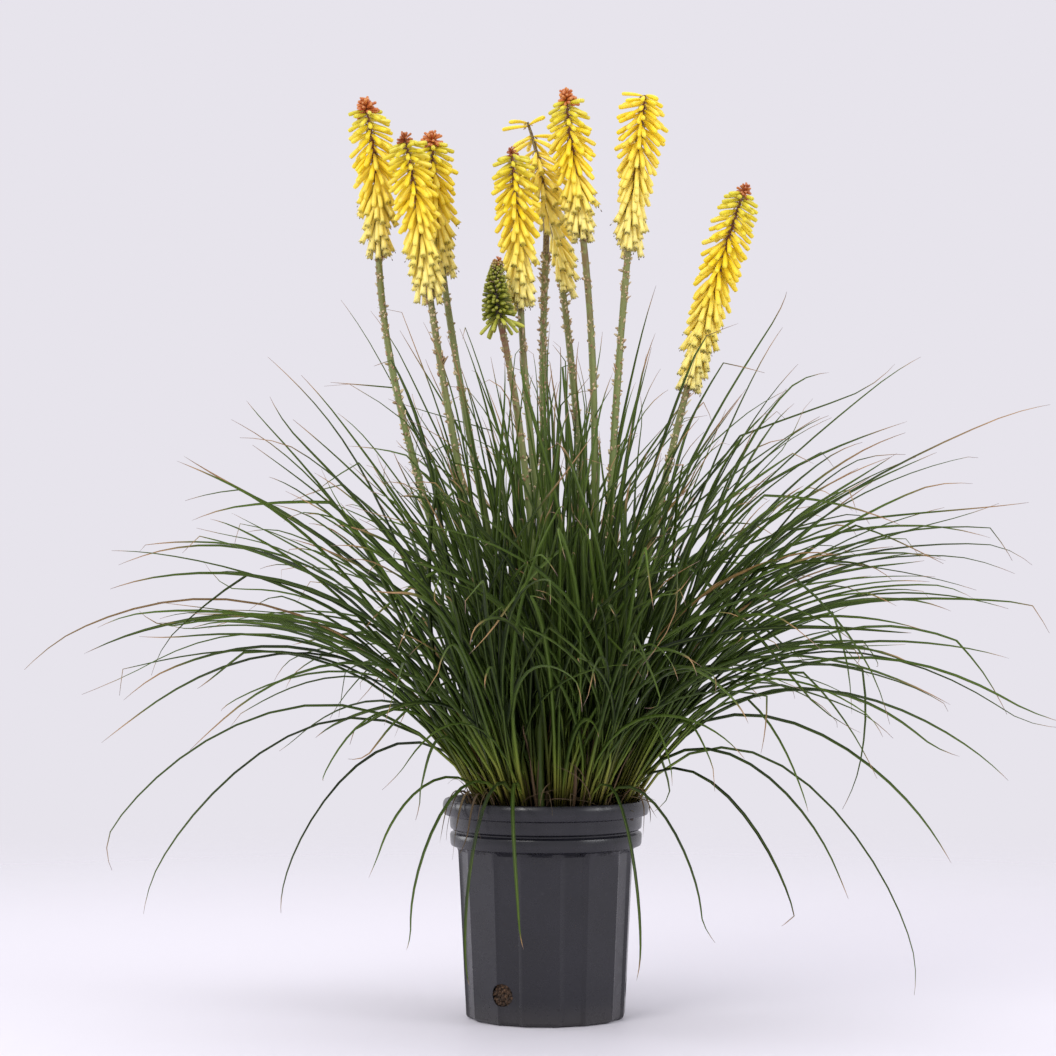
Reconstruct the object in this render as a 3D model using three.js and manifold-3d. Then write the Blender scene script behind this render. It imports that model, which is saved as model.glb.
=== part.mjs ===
// Potted torch lily (red hot poker) in bloom: a nursery pot filled with soil, grass-like leaves in
// tufts, and ten flower stems with spikes of tubular florets.
// Millimetres, +Z up. The origin is the middle of the pot's underside, and -Y is the front.

import * as THREE from 'three';
import { mergeVertices } from 'three/addons/utils/BufferGeometryUtils.js';
import Module from 'manifold-3d';

const wasm = await Module();
wasm.setup();

// Pot: sixteen flat panels, eight wide ones standing proud of eight narrow ones.
const POT_HEIGHT = 225;
const POT_BASE_RADIUS = 83;
const POT_SHOULDER_RADIUS = 91.5;
const POT_SHOULDER_HEIGHT = 176;
const POT_WALL = 2.4;
const POT_FLOOR = 3;
const PANEL_PAIRS = 8;
const WIDE_PANEL_DEGREES = 26;
const STEP_DEGREES = 3;
const PANEL_STEP = 1.6;
const DRAIN_HOLE_RADIUS = 11.5;
const DRAIN_HOLE_HEIGHT = 31;
const DRAIN_HOLE_AZIMUTHS = [-123, -3, 117];

// Soil: fills the pot to a little under its rim.
const SEAT_GAP = 0.3;
const SOIL_TOP = 212;
const SOIL_SIDES = 20;

// Leaves: each tuft is one crown with a blade on every second facet of its top. The tufts stand in a
// spiral that starts at TUFT_TURN, in degrees.
const CLUMP_CENTRE = new THREE.Vector3(8, 0, SOIL_TOP);
const CLUMP_RADIUS = 71;
const TUFT_COUNT = 19;
const TUFT_SPACING = 29;
const TUFT_TURN = 34;
const CROWN_PITCH = 6.8;
const CROWN_DEPTH = 18;
const CROWN_RISE = 3;
const CROWN_REACH = CLUMP_RADIUS + 2 * CROWN_PITCH;
const BLADE_WIDTH = 5.6;
const BLADE_BASE_SCALE = 0.72;
const BLADE_KEEL = 1.9;
const BLADE_GAP = 0.4;
const BLADE_TRIES = 160;
const LEAF_SEED = 20;

// Where a blade has its rings, as shares of its run, how wide it is there, and how far its keel
// still is from the underside. A leaf with little arch needs fewer rings.
const BLADES = {
  straight: { stations: [0.07, 0.4, 0.74], taper: [1, 0.96, 0.6], roll: [0.45, 0] },
  arched: {
    stations: [0.07, 0.25, 0.45, 0.65, 0.84],
    taper: [1, 1, 0.9, 0.72, 0.46],
    roll: [0.7, 0.4, 0.15, 0],
  },
};
const STRAIGHT_BOW = 24;

// How a leaf runs, in degrees from upright and in shares of its length: the flow that it leaves its
// root along, the lean of the straight line to its tip, and its arch over that line.
const FLOW = { inner: 2, outer: 33 };
const LEAN = { inner: 4, outer: 62, spread: 44, least: 2, most: 108 };
const ARCH = { upright: 5, leaning: 55, spread: 16, least: 3 };
const HANDLES = { first: 0.38, firstByArch: 0.28, last: 0.33, lastByArch: -0.03 };
const REACH = { upright: 485, middle: 545, low: 400, shortest: 0.7 };
const SWING = { inner: 1.7, outer: 0.7 };

// Room that leaves keep round the pot: over the floor, over the rim and beside the wall.
const FLOOR_ROOM = 14;
const RIM_ROOM = 5;
const RIM_RADIUS = POT_SHOULDER_RADIUS + 15;

// Flowers: sizes of a stem, a floret and the flower stalk (rachis) inside a spike.
const STEM_SIDES = 6;
const STEM_STEPS = 7;
const STEM_DEPTH = 20;
const STEM_FOOT_RADIUS = 5.2;
const STEM_TOP_RADIUS = 3.9;
const SPIKE_SIDES = 7;
const FLORET_LENGTH = 24;
const FLORET_RADIUS = 4.2;
const RACHIS_RADIUS = 4.7;
const SPIKE_RADIUS = 27;
const TIP_BUDS = { sides: 5, rows: 2, height: 9, radius: 2.4, length: 8.5, budRadius: 1.8 };

// Where each flower stands. foot is its place in the soil [x, y]; neck, middle and tip are points
// [x, z] on the axis of its spike, which stands at the depth y; rows counts its rings of florets.
const FLOWERS = [
  { name: 'a', foot: [-58, 20], y: 18, neck: [-174, 812], middle: [-177, 878], tip: [-186, 938], rows: 11 },
  { name: 'b', foot: [-44, -22], y: -24, neck: [-122, 764], middle: [-133, 840], tip: [-144, 900], rows: 12 },
  { name: 'c', foot: [-26, 34], y: 28, neck: [-110, 794], middle: [-116, 855], tip: [-118, 904], rows: 9 },
  { name: 'd', foot: [-6, -58], y: -62, neck: [-47, 716], middle: [-51, 746], tip: [-49, 773], rows: 9 },
  { name: 'e', foot: [20, -28], y: -32, neck: [-27, 757], middle: [-30, 824], tip: [-35, 886], rows: 11 },
  { name: 'f', foot: [8, 14], y: 18, neck: [0, 788], middle: [-3, 858], tip: [-17, 916], rows: 9 },
  { name: 'g', foot: [44, 4], y: -14, neck: [35, 828], middle: [28, 884], tip: [21, 943], rows: 10 },
  { name: 'h', foot: [58, -40], y: -6, neck: [87, 814], middle: [95, 892], tip: [102, 950], rows: 11 },
  { name: 'i', foot: [74, 12], y: 6, neck: [152, 672], middle: [178, 768], tip: [204, 850], rows: 14 },
  { name: 'j', foot: [46, 54], y: 66, neck: [15, 776], middle: [8, 816], tip: [-1, 850], rows: 6 },
];

// Leaves that reach furthest: the tip [x, y, z], and the bow, the angle in degrees between the
// leaf's first direction and the straight line to its tip.
const LONG_LEAVES = [
  { tip: [-535, -40, 372], bow: 50 },
  { tip: [-478, 70, 378], bow: 42 },
  { tip: [-440, 150, 486], bow: 38 },
  { tip: [-433, -130, 452], bow: 40 },
  { tip: [-440, 100, 335], bow: 44 },
  { tip: [-457, -100, 166], bow: 60 },
  { tip: [-419, 30, 115], bow: 62 },
  { tip: [-285, 165, 89], bow: 66 },
  { tip: [-375, 90, 576], bow: 18 },
  { tip: [-293, -60, 634], bow: 12 },
  { tip: [-135, -180, 94], bow: 72 },
  { tip: [-170, -150, 168], bow: 68 },
  { tip: [-212, 30, 749], bow: 8 },
  { tip: [-243, -70, 660], bow: 10 },
  { tip: [-78, -195, 58], bow: 74 },
  { tip: [-30, -205, 96], bow: 76 },
  { tip: [88, -190, 70], bow: 74 },
  { tip: [152, -130, 99], bow: 70 },
  { tip: [250, -120, 94], bow: 64 },
  { tip: [381, -50, 42], bow: 58 },
  { tip: [293, -170, 143], bow: 60 },
  { tip: [422, 70, 159], bow: 55 },
  { tip: [458, -100, 254], bow: 50 },
  { tip: [522, 30, 285], bow: 50 },
  { tip: [515, -110, 429], bow: 32 },
  { tip: [520, 90, 485], bow: 34 },
  { tip: [520, -40, 636], bow: 20 },
  { tip: [470, 130, 600], bow: 22 },
  { tip: [378, -90, 687], bow: 14 },
  { tip: [318, 60, 742], bow: 10 },
  { tip: [268, -40, 757], bow: 8 },
  { tip: [116, 40, 749], bow: 5 },
  { tip: [50, -200, 300], bow: 66 },
  { tip: [-60, 330, 250], bow: 58 },
  { tip: [150, 360, 180], bow: 60 },
  { tip: [60, 420, 380], bow: 44 },
  { tip: [-210, 340, 330], bow: 50 },
  { tip: [240, 340, 480], bow: 36 },
  { tip: [-70, -400, 400], bow: 46 },
  { tip: [190, -370, 330], bow: 50 },
];

const radians = THREE.MathUtils.degToRad;
const lerp = THREE.MathUtils.lerp;
const clamp = THREE.MathUtils.clamp;
const vec = (x, y, z) => new THREE.Vector3(x, y, z);

// A seeded stream of random numbers from 0 to 1, the same on every run.
function randomStream(seed) {
  let state = seed;
  return () => {
    state = (state + 0x6d2b79f5) >>> 0;
    let mixed = Math.imul(state ^ (state >>> 15), state | 1);
    mixed = (mixed + Math.imul(mixed ^ (mixed >>> 7), mixed | 61)) ^ mixed;
    return ((mixed ^ (mixed >>> 14)) >>> 0) / 4294967296;
  };
}

// A closed body made point by point. Facets run counterclockwise seen from outside.
class Body {
  constructor() {
    this.points = [];
    this.facets = [];
  }

  ring(points) {
    const first = this.points.length;
    this.points.push(...points);
    return points.map((point, index) => first + index);
  }

  // The wall from one ring of points up to the next ring with as many points.
  wall(lower, upper) {
    const count = lower.length;
    for (let i = 0; i < count; i += 1) {
      const next = (i + 1) % count;
      this.facets.push([lower[i], lower[next], upper[next]]);
      this.facets.push([lower[i], upper[next], upper[i]]);
    }
  }

  // A cap of triangles from a ring to one point.
  close(ring, point) {
    const [apex] = this.ring([point]);
    ring.forEach((corner, i) => {
      this.facets.push([corner, ring[(i + 1) % ring.length], apex]);
    });
  }

  // A blade or tube that grows from a three-cornered opening through rings of three points.
  // It ends in a point, or in a flat mouth where no tip is given.
  grow(root, rings, tip) {
    let last = root;
    for (const points of rings) {
      const next = this.ring(points);
      this.wall(last, next);
      last = next;
    }
    if (tip) {
      this.close(last, tip);
    } else {
      this.facets.push(last);
    }
  }

  geometry() {
    const geometry = new THREE.BufferGeometry();
    const coordinates = this.points.flatMap((point) => point.toArray());
    geometry.setAttribute('position', new THREE.Float32BufferAttribute(coordinates, 3));
    geometry.setIndex(this.facets.flat());
    return geometry;
  }
}

function toManifold(geometry) {
  const bare = geometry.clone();
  bare.deleteAttribute('normal');
  bare.deleteAttribute('uv');
  const merged = mergeVertices(bare, 1e-4);
  return new wasm.Manifold(new wasm.Mesh({
    numProp: 3,
    vertProperties: new Float32Array(merged.attributes.position.array),
    triVerts: new Uint32Array(merged.index.array),
  }));
}

function fromManifold(solid) {
  const mesh = solid.getMesh();
  const geometry = new THREE.BufferGeometry();
  geometry.setAttribute('position', new THREE.BufferAttribute(mesh.vertProperties, 3));
  geometry.setIndex(new THREE.BufferAttribute(mesh.triVerts, 1));
  return geometry;
}

// An upright prism with its flat bottom at the given height, for cutting holes.
function prism(x, y, bottom, radius, height, sides, turn) {
  const geometry = new THREE.CylinderGeometry(radius, radius, height, sides, 1);
  geometry.rotateX(Math.PI / 2);
  geometry.rotateZ(turn);
  geometry.translate(x, y, bottom + height / 2);
  return toManifold(geometry);
}

// Pot and soil

// The azimuths of the pot's upright edges, with where each lies on the panels: 1 on a wide panel,
// 0 on a narrow one. The wide panels have a line of points down their middle.
function panelEdges() {
  const pair = 360 / PANEL_PAIRS;
  const half = WIDE_PANEL_DEGREES / 2;
  const edges = [];
  for (let i = 0; i < PANEL_PAIRS; i += 1) {
    const middle = i * pair - 90 - 4;
    edges.push({ azimuth: middle - half, proud: 1, across: half });
    edges.push({ azimuth: middle, proud: 1, across: 0 });
    edges.push({ azimuth: middle + half, proud: 1, across: half });
    edges.push({ azimuth: middle + half + STEP_DEGREES, proud: 0, across: half });
    edges.push({ azimuth: middle + pair - half - STEP_DEGREES, proud: 0, across: half });
  }
  return edges;
}

// One level of the pot's surface. panelled is 1 where the wall is panelled and 0 where it is round.
function potRing(radius, height, panelled) {
  const half = radians(WIDE_PANEL_DEGREES / 2);
  return panelEdges().map(({ azimuth, proud, across }) => {
    const flat = Math.cos(half) / Math.cos(radians(across));
    const panelRadius = radius * flat - PANEL_STEP * (1 - proud);
    const reach = lerp(radius, panelRadius, panelled);
    const angle = radians(azimuth);
    return vec(reach * Math.cos(angle), reach * Math.sin(angle), height);
  });
}

function potGeometry() {
  const levels = [
    [POT_BASE_RADIUS - 3, 0, 1],
    [POT_BASE_RADIUS, 3, 1],
    [POT_SHOULDER_RADIUS, POT_SHOULDER_HEIGHT, 1],
    [POT_SHOULDER_RADIUS + 7, POT_SHOULDER_HEIGHT + 3, 0],
    [POT_SHOULDER_RADIUS + 7.5, POT_SHOULDER_HEIGHT + 14, 0],
    [POT_SHOULDER_RADIUS + 3.8, POT_SHOULDER_HEIGHT + 16.5, 0],
    [POT_SHOULDER_RADIUS + 7, POT_SHOULDER_HEIGHT + 19, 0],
    [POT_SHOULDER_RADIUS + 7.8, POT_SHOULDER_HEIGHT + 32, 0],
    [POT_SHOULDER_RADIUS + 14, POT_SHOULDER_HEIGHT + 34, 0],
    [POT_SHOULDER_RADIUS + 15, POT_HEIGHT - 5, 0],
    [POT_SHOULDER_RADIUS + 12.5, POT_HEIGHT, 0],
    [POT_SHOULDER_RADIUS + 8.5, POT_HEIGHT - 1, 0],
    [POT_SHOULDER_RADIUS + 5.4, POT_HEIGHT - 10, 0],
    [POT_SHOULDER_RADIUS + 1.4, POT_SHOULDER_HEIGHT + 5, 0],
    [POT_SHOULDER_RADIUS - POT_WALL, POT_SHOULDER_HEIGHT - 4, 1],
    [POT_BASE_RADIUS - POT_WALL, POT_FLOOR, 1],
  ];
  const body = new Body();
  const rings = levels.map(([radius, height, panelled]) => body.ring(potRing(radius, height, panelled)));
  for (let i = 1; i < rings.length; i += 1) {
    body.wall(rings[i - 1], rings[i]);
  }
  body.close([...rings[0]].reverse(), vec(0, 0, 0));
  body.close(rings.at(-1), vec(0, 0, POT_FLOOR));
  let pot = toManifold(body.geometry());
  for (const azimuth of DRAIN_HOLE_AZIMUTHS) {
    const drill = new THREE.CylinderGeometry(DRAIN_HOLE_RADIUS, DRAIN_HOLE_RADIUS, 24, 12, 1);
    drill.rotateZ(Math.PI / 2);
    drill.translate(POT_BASE_RADIUS, 0, DRAIN_HOLE_HEIGHT);
    drill.rotateZ(radians(azimuth));
    pot = pot.subtract(toManifold(drill));
  }
  return fromManifold(pot);
}

function soilGeometry(tufts) {
  const middle = Math.cos(radians(WIDE_PANEL_DEGREES / 2));
  const inner = (radius) => radius * middle - PANEL_STEP - POT_WALL - SEAT_GAP;
  const levels = [
    [inner(POT_BASE_RADIUS), POT_FLOOR + SEAT_GAP],
    [inner(POT_SHOULDER_RADIUS), POT_SHOULDER_HEIGHT - 4],
    [POT_SHOULDER_RADIUS - 0.4, POT_SHOULDER_HEIGHT + 6],
    [POT_SHOULDER_RADIUS + 3.4, SOIL_TOP],
  ];
  const outline = levels.map(([radius, height]) => new THREE.Vector2(radius, height));
  outline.unshift(new THREE.Vector2(0, levels[0][1]));
  outline.push(new THREE.Vector2(0, SOIL_TOP));
  const lathe = new THREE.LatheGeometry(outline, SOIL_SIDES);
  lathe.rotateX(Math.PI / 2);
  let soil = toManifold(lathe);
  for (const { x, y, turn } of tufts) {
    const radius = 2 * CROWN_PITCH + 2 * SEAT_GAP;
    const bottom = SOIL_TOP - CROWN_DEPTH - SEAT_GAP;
    soil = soil.subtract(prism(x, y, bottom, radius, CROWN_DEPTH + 5, 6, turn));
  }
  for (const { foot } of FLOWERS) {
    const radius = STEM_FOOT_RADIUS + 2 * SEAT_GAP;
    const bottom = SOIL_TOP - STEM_DEPTH - SEAT_GAP;
    soil = soil.subtract(prism(foot[0], foot[1], bottom, radius, STEM_DEPTH + 5, 6, Math.PI / 2));
  }
  return fromManifold(soil);
}

// Flowers

// The curve of a flower: a point and a set of axes at each place along the stem and the spike.
function flowerCurves(flower) {
  const place = ([x, z]) => vec(x, flower.y, z);
  const [neck, middle, tip] = [place(flower.neck), place(flower.middle), place(flower.tip)];
  const control = middle.clone().multiplyScalar(2).sub(neck.clone().add(tip).multiplyScalar(0.5));
  const spike = new THREE.QuadraticBezierCurve3(neck, control, tip);
  const foot = vec(flower.foot[0], flower.foot[1], SOIL_TOP + 2);
  const end = neck.clone().addScaledVector(spike.getTangent(0), -SEAT_GAP);
  const span = foot.distanceTo(end);
  const rise = foot.clone().add(vec(0, 0, span * 0.3));
  const lead = end.clone().addScaledVector(spike.getTangent(0), -span * 0.36);
  return { spike, stem: new THREE.CubicBezierCurve3(foot, rise, lead, end) };
}

// Axes across a curve: n points to the right of the front view and s away from the viewer.
function axesAt(curve, t) {
  const point = curve.getPoint(t);
  const along = curve.getTangent(t);
  const n = vec(1, 0, 0).addScaledVector(along, -along.x).normalize();
  const s = along.clone().cross(n);
  return { point, along, n, s };
}

function circleAt(curve, t, radius, sides, phase) {
  const { point, n, s } = axesAt(curve, t);
  return Array.from({ length: sides }, (unused, j) => {
    const angle = ((j + phase) / sides) * 2 * Math.PI;
    const across = n.clone().multiplyScalar(Math.cos(angle)).addScaledVector(s, Math.sin(angle));
    return point.clone().addScaledVector(across, radius);
  });
}

function stemGeometry(flower) {
  const { stem } = flowerCurves(flower);
  const body = new Body();
  const down = (point) => point.setZ(SOIL_TOP - STEM_DEPTH);
  let last = body.ring(circleAt(stem, 0, STEM_FOOT_RADIUS, STEM_SIDES, 0).map(down));
  body.close([...last].reverse(), down(stem.getPoint(0)));
  for (let i = 0; i <= STEM_STEPS; i += 1) {
    const t = i / STEM_STEPS;
    const radius = lerp(STEM_FOOT_RADIUS, STEM_TOP_RADIUS, t);
    const ring = body.ring(circleAt(stem, t, radius, STEM_SIDES, 0));
    body.wall(last, ring);
    last = ring;
  }
  body.close(last, stem.getPoint(1));
  return body.geometry();
}

// How a floret stands at height t of a spike, from 0 at the neck to 1 at the tip. The lowest hang
// down, the highest stand straight out.
function floretShape(flower, t) {
  if (flower.name === 'd') {
    const open = t < 0.12;
    return {
      rise: open ? -38 : lerp(-14, 38, t),
      length: open ? 19 : lerp(14, 5.5, t),
      radius: open ? 3 : lerp(3.4, 2.1, t),
      bud: true,
    };
  }
  return {
    rise: lerp(-77, 10, t ** 1.15),
    length: FLORET_LENGTH * lerp(1, 0.74, t ** 3),
    radius: FLORET_RADIUS * lerp(1, 0.66, t ** 1.5),
    bud: t > 0.45,
  };
}

// Which florets a fading spike still has: azimuth is 0 towards +X and grows towards the back.
function floretPresent(flower, t, azimuth) {
  const right = Math.cos(azimuth) > -0.25;
  if (flower.name === 'f') {
    return t > 0.86 || (t > 0.3 && t < 0.75 && (right || t > 0.45));
  }
  if (flower.name === 'j') {
    return right || t > 0.8;
  }
  return true;
}

function spikeGeometry(flower) {
  const { spike } = flowerCurves(flower);
  const body = new Body();
  const slim = flower.name === 'f' ? 0.7 : 1;
  const rachis = (t) => slim * lerp(RACHIS_RADIUS, 2.6, t);
  const rings = [];
  for (let row = 0; row <= flower.rows; row += 1) {
    const t = row / flower.rows;
    rings.push(body.ring(circleAt(spike, t, rachis(t), SPIKE_SIDES, (row % 2) / 2)));
  }
  body.close([...rings[0]].reverse(), spike.getPoint(0));
  body.close(rings.at(-1), spike.getPoint(1));
  for (let row = 0; row < flower.rows; row += 1) {
    const t = (row + 0.5) / flower.rows;
    const shape = floretShape(flower, t);
    const axes = axesAt(spike, t);
    const [lower, upper] = [rings[row], rings[row + 1]];
    for (let j = 0; j < SPIKE_SIDES; j += 1) {
      const next = (j + 1) % SPIKE_SIDES;
      const odd = row % 2 === 1;
      body.facets.push(odd ? [lower[j], lower[next], upper[next]] : [lower[j], lower[next], upper[j]]);
      const bottom = odd ? lower[j] : lower[next];
      const root = [bottom, upper[next], upper[j]];
      const azimuth = ((odd ? j + 0.5 : j + 1) / SPIKE_SIDES) * 2 * Math.PI;
      if (floretPresent(flower, t, azimuth)) {
        growFloret(body, root, axes, azimuth, shape);
      } else {
        body.facets.push(root);
      }
    }
  }
  return body.geometry();
}

// One three-sided floret: a closed bud ends in a point, an open floret in a flat mouth.
function growFloret(body, root, axes, azimuth, shape) {
  const start = vec(0, 0, 0);
  root.forEach((corner) => start.addScaledVector(body.points[corner], 1 / 3));
  const out = axes.n.clone().multiplyScalar(Math.cos(azimuth)).addScaledVector(axes.s, Math.sin(azimuth));
  const side = axes.along.clone().cross(out);
  const rise = radians(shape.rise);
  const along = out.clone().multiplyScalar(Math.cos(rise)).addScaledVector(axes.along, Math.sin(rise));
  const over = out.clone().multiplyScalar(-Math.sin(rise)).addScaledVector(axes.along, Math.cos(rise));
  const mouth = start.clone().addScaledVector(along, shape.length * (shape.bud ? 0.8 : 1));
  const corner = (up, across) => mouth.clone()
    .addScaledVector(over, shape.radius * up)
    .addScaledVector(side, shape.radius * across);
  const ring = [corner(-1, 0), corner(0.5, 0.87), corner(0.5, -0.87)];
  const tip = shape.bud ? start.clone().addScaledVector(along, shape.length * 1.05) : null;
  body.grow(root, [ring], tip);
}

// The tuft of orange-red buds on top of a spike.
function budTipGeometry(flower) {
  const { spike } = flowerCurves(flower);
  const along = spike.getTangent(1);
  const start = spike.getPoint(1).addScaledVector(along, SEAT_GAP);
  const axis = new THREE.LineCurve3(start, start.clone().addScaledVector(along, TIP_BUDS.height));
  const body = new Body();
  const rings = [];
  const { sides, rows, radius } = TIP_BUDS;
  for (let row = 0; row <= rows; row += 1) {
    rings.push(body.ring(circleAt(axis, row / rows, lerp(radius, 1.2, row / rows), sides, (row % 2) / 2)));
  }
  body.close([...rings[0]].reverse(), axis.getPoint(0));
  body.close(rings.at(-1), axis.getPoint(1).addScaledVector(along, 2.5));
  for (let row = 0; row < rows; row += 1) {
    const axes = axesAt(axis, (row + 0.5) / rows);
    const shape = { rise: lerp(12, 48, row), length: TIP_BUDS.length, radius: TIP_BUDS.budRadius, bud: true };
    const odd = row % 2 === 1;
    for (let j = 0; j < sides; j += 1) {
      const next = (j + 1) % sides;
      const [lower, upper] = [rings[row], rings[row + 1]];
      body.facets.push(odd ? [lower[j], lower[next], upper[next]] : [lower[j], lower[next], upper[j]]);
      const root = [odd ? lower[j] : lower[next], upper[next], upper[j]];
      growFloret(body, root, axes, ((odd ? j + 0.5 : j + 1) / sides) * 2 * Math.PI, shape);
    }
  }
  return body.geometry();
}

// Leaves

// Places for the tufts: a sunflower spiral, then pushed apart from each other and from the stems.
function tuftPlaces() {
  const golden = Math.PI * (3 - Math.sqrt(5));
  const places = Array.from({ length: TUFT_COUNT }, (unused, k) => {
    const radius = CLUMP_RADIUS * Math.sqrt((k + 0.5) / TUFT_COUNT);
    const turn = radians(TUFT_TURN) + k * golden;
    const offset = vec(radius * Math.cos(turn), radius * Math.sin(turn), 0);
    return offset.add(CLUMP_CENTRE).setZ(0);
  });
  const stems = FLOWERS.map(({ foot }) => vec(foot[0], foot[1], 0));
  for (let pass = 0; pass < 400; pass += 1) {
    for (const place of places) {
      for (const other of [...places, ...stems]) {
        const least = places.includes(other) ? TUFT_SPACING : TUFT_SPACING / 2 + STEM_FOOT_RADIUS + 2;
        const apart = place.distanceTo(other);
        if (other !== place && apart < least) {
          place.addScaledVector(place.clone().sub(other).normalize(), (least - apart) * 0.5);
        }
      }
      const offset = place.clone().setZ(SOIL_TOP).sub(CLUMP_CENTRE);
      offset.clampLength(0, CLUMP_RADIUS);
      place.copy(CLUMP_CENTRE).add(offset).setZ(0);
    }
  }
  return places.map(({ x, y }) => {
    return { x, y, turn: Math.atan2(y - CLUMP_CENTRE.y, x - CLUMP_CENTRE.x) };
  });
}

// The crown's top: a six-sided patch of facets two steps wide. Every second facet is a leaf's root.
function crownBody(tuft) {
  const body = new Body();
  const index = new Map();
  const key = (i, j) => `${i},${j}`;
  const inside = (i, j) => Math.max(Math.abs(i), Math.abs(j), Math.abs(i + j)) <= 2;
  const corner = (i, j) => {
    const x = CROWN_PITCH * (i + j / 2);
    const y = (CROWN_PITCH * j * Math.sqrt(3)) / 2;
    const height = SOIL_TOP + CROWN_RISE * (1 - Math.hypot(x, y) / (2 * CROWN_PITCH));
    const offset = vec(x, y, 0).applyAxisAngle(vec(0, 0, 1), tuft.turn - Math.PI / 2);
    return offset.add(vec(tuft.x, tuft.y, height));
  };
  for (let i = -2; i <= 2; i += 1) {
    for (let j = -2; j <= 2; j += 1) {
      if (inside(i, j)) {
        index.set(key(i, j), body.ring([corner(i, j)])[0]);
      }
    }
  }
  const roots = [];
  for (let i = -2; i <= 2; i += 1) {
    for (let j = -2; j <= 2; j += 1) {
      const keys = [key(i, j), key(i + 1, j), key(i, j + 1), key(i + 1, j - 1)];
      const [a, b, c, d] = keys.map((name) => index.get(name));
      if (a !== undefined && b !== undefined && c !== undefined) {
        roots.push([a, b, c]);
      }
      if (a !== undefined && b !== undefined && d !== undefined) {
        body.facets.push([a, d, b]);
      }
    }
  }
  const rim = [
    [2, 0], [1, 1], [0, 2], [-1, 2], [-2, 2], [-2, 1],
    [-2, 0], [-1, -1], [0, -2], [1, -2], [2, -2], [2, -1],
  ];
  const edge = rim.map(([i, j]) => index.get(key(i, j)));
  const under = body.ring(edge.map((point) => body.points[point].clone().setZ(SOIL_TOP - CROWN_DEPTH)));
  body.wall(under, edge);
  body.close([...under].reverse(), vec(tuft.x, tuft.y, SOIL_TOP - CROWN_DEPTH));
  return { body, roots };
}

const heading = (azimuth, tilt) => vec(
  Math.sin(tilt) * Math.cos(azimuth),
  Math.sin(tilt) * Math.sin(azimuth),
  Math.cos(tilt),
);

// A leaf's path: it leaves its root along the flow of the clump, which leans out more the further
// the root is from the middle, and arches over to its tip.
function leafCurve({ centre, azimuth, out }, tip, bow) {
  const line = tip.clone().sub(centre);
  const chord = line.length();
  const bend = bow / radians(60);
  const launch = heading(azimuth, radians(FLOW.inner + FLOW.outer * out));
  const landing = heading(Math.atan2(line.y, line.x), Math.acos(line.z / chord) + bow);
  return new THREE.CubicBezierCurve3(
    centre,
    centre.clone().addScaledVector(launch, chord * (HANDLES.first + HANDLES.firstByArch * bend)),
    tip.clone().addScaledVector(landing, -chord * (HANDLES.last + HANDLES.lastByArch * bend)),
    tip,
  );
}

// A leaf's curve and the blade that suits its bow, given in degrees.
function leafPath(place, tip, bow) {
  const curve = leafCurve(place, tip, radians(bow));
  return { curve, blade: bow < STRAIGHT_BOW ? BLADES.straight : BLADES.arched };
}

// The stretches of a leaf for the test of clearance: end points and half widths.
function leafStretches({ curve, blade }, tuft) {
  const stations = [0, ...blade.stations, 1];
  const widths = [0.7, ...blade.taper, 0.1];
  const points = stations.map((t) => curve.getPoint(t));
  return stations.slice(1).map((unused, i) => ({
    from: points[i],
    to: points[i + 1],
    radius: (Math.max(widths[i], widths[i + 1]) * BLADE_WIDTH) / 2,
    first: i === 0,
    tuft,
  }));
}

// The least distance between two straight stretches.
function stretchDistance(a, b) {
  const u = a.to.clone().sub(a.from);
  const v = b.to.clone().sub(b.from);
  const w = a.from.clone().sub(b.from);
  const [uu, uv, vv, uw, vw] = [u.dot(u), u.dot(v), v.dot(v), u.dot(w), v.dot(w)];
  const area = uu * vv - uv * uv;
  let s = area > 1e-9 ? clamp((uv * vw - vv * uw) / area, 0, 1) : 0;
  const t = clamp((uv * s + vw) / vv, 0, 1);
  s = clamp((uv * t - uw) / uu, 0, 1);
  return w.addScaledVector(u, s).addScaledVector(v, -t).length();
}

// A leaf passes over the pot's rim and hangs clear of its wall.
function clearsPot({ curve }) {
  for (let i = 1; i <= 24; i += 1) {
    const { x, y, z } = curve.getPoint(i / 24);
    const out = Math.hypot(x, y);
    const near = out < RIM_RADIUS + RIM_ROOM;
    const onRim = near && out > POT_SHOULDER_RADIUS && z < POT_HEIGHT + RIM_ROOM;
    if (z < FLOOR_ROOM || onRim || (near && z < SOIL_TOP - RIM_ROOM)) {
      return false;
    }
  }
  return true;
}

function clearsAll(stretches, taken) {
  return stretches.every((mine) => taken.every((other) => {
    const rooted = mine.first && other.first && mine.tuft === other.tuft;
    const least = rooted ? CROWN_PITCH * 0.78 : mine.radius + other.radius + BLADE_GAP;
    return stretchDistance(mine, other) > least;
  }));
}

// How far leaves reach at each tilt of their line from upright, in degrees.
function longestChord(tilt) {
  const low = lerp(REACH.middle, REACH.low, clamp((tilt - 50) / 60, 0, 1));
  return lerp(REACH.upright, low, clamp(tilt / 20, 0, 1));
}

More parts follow.
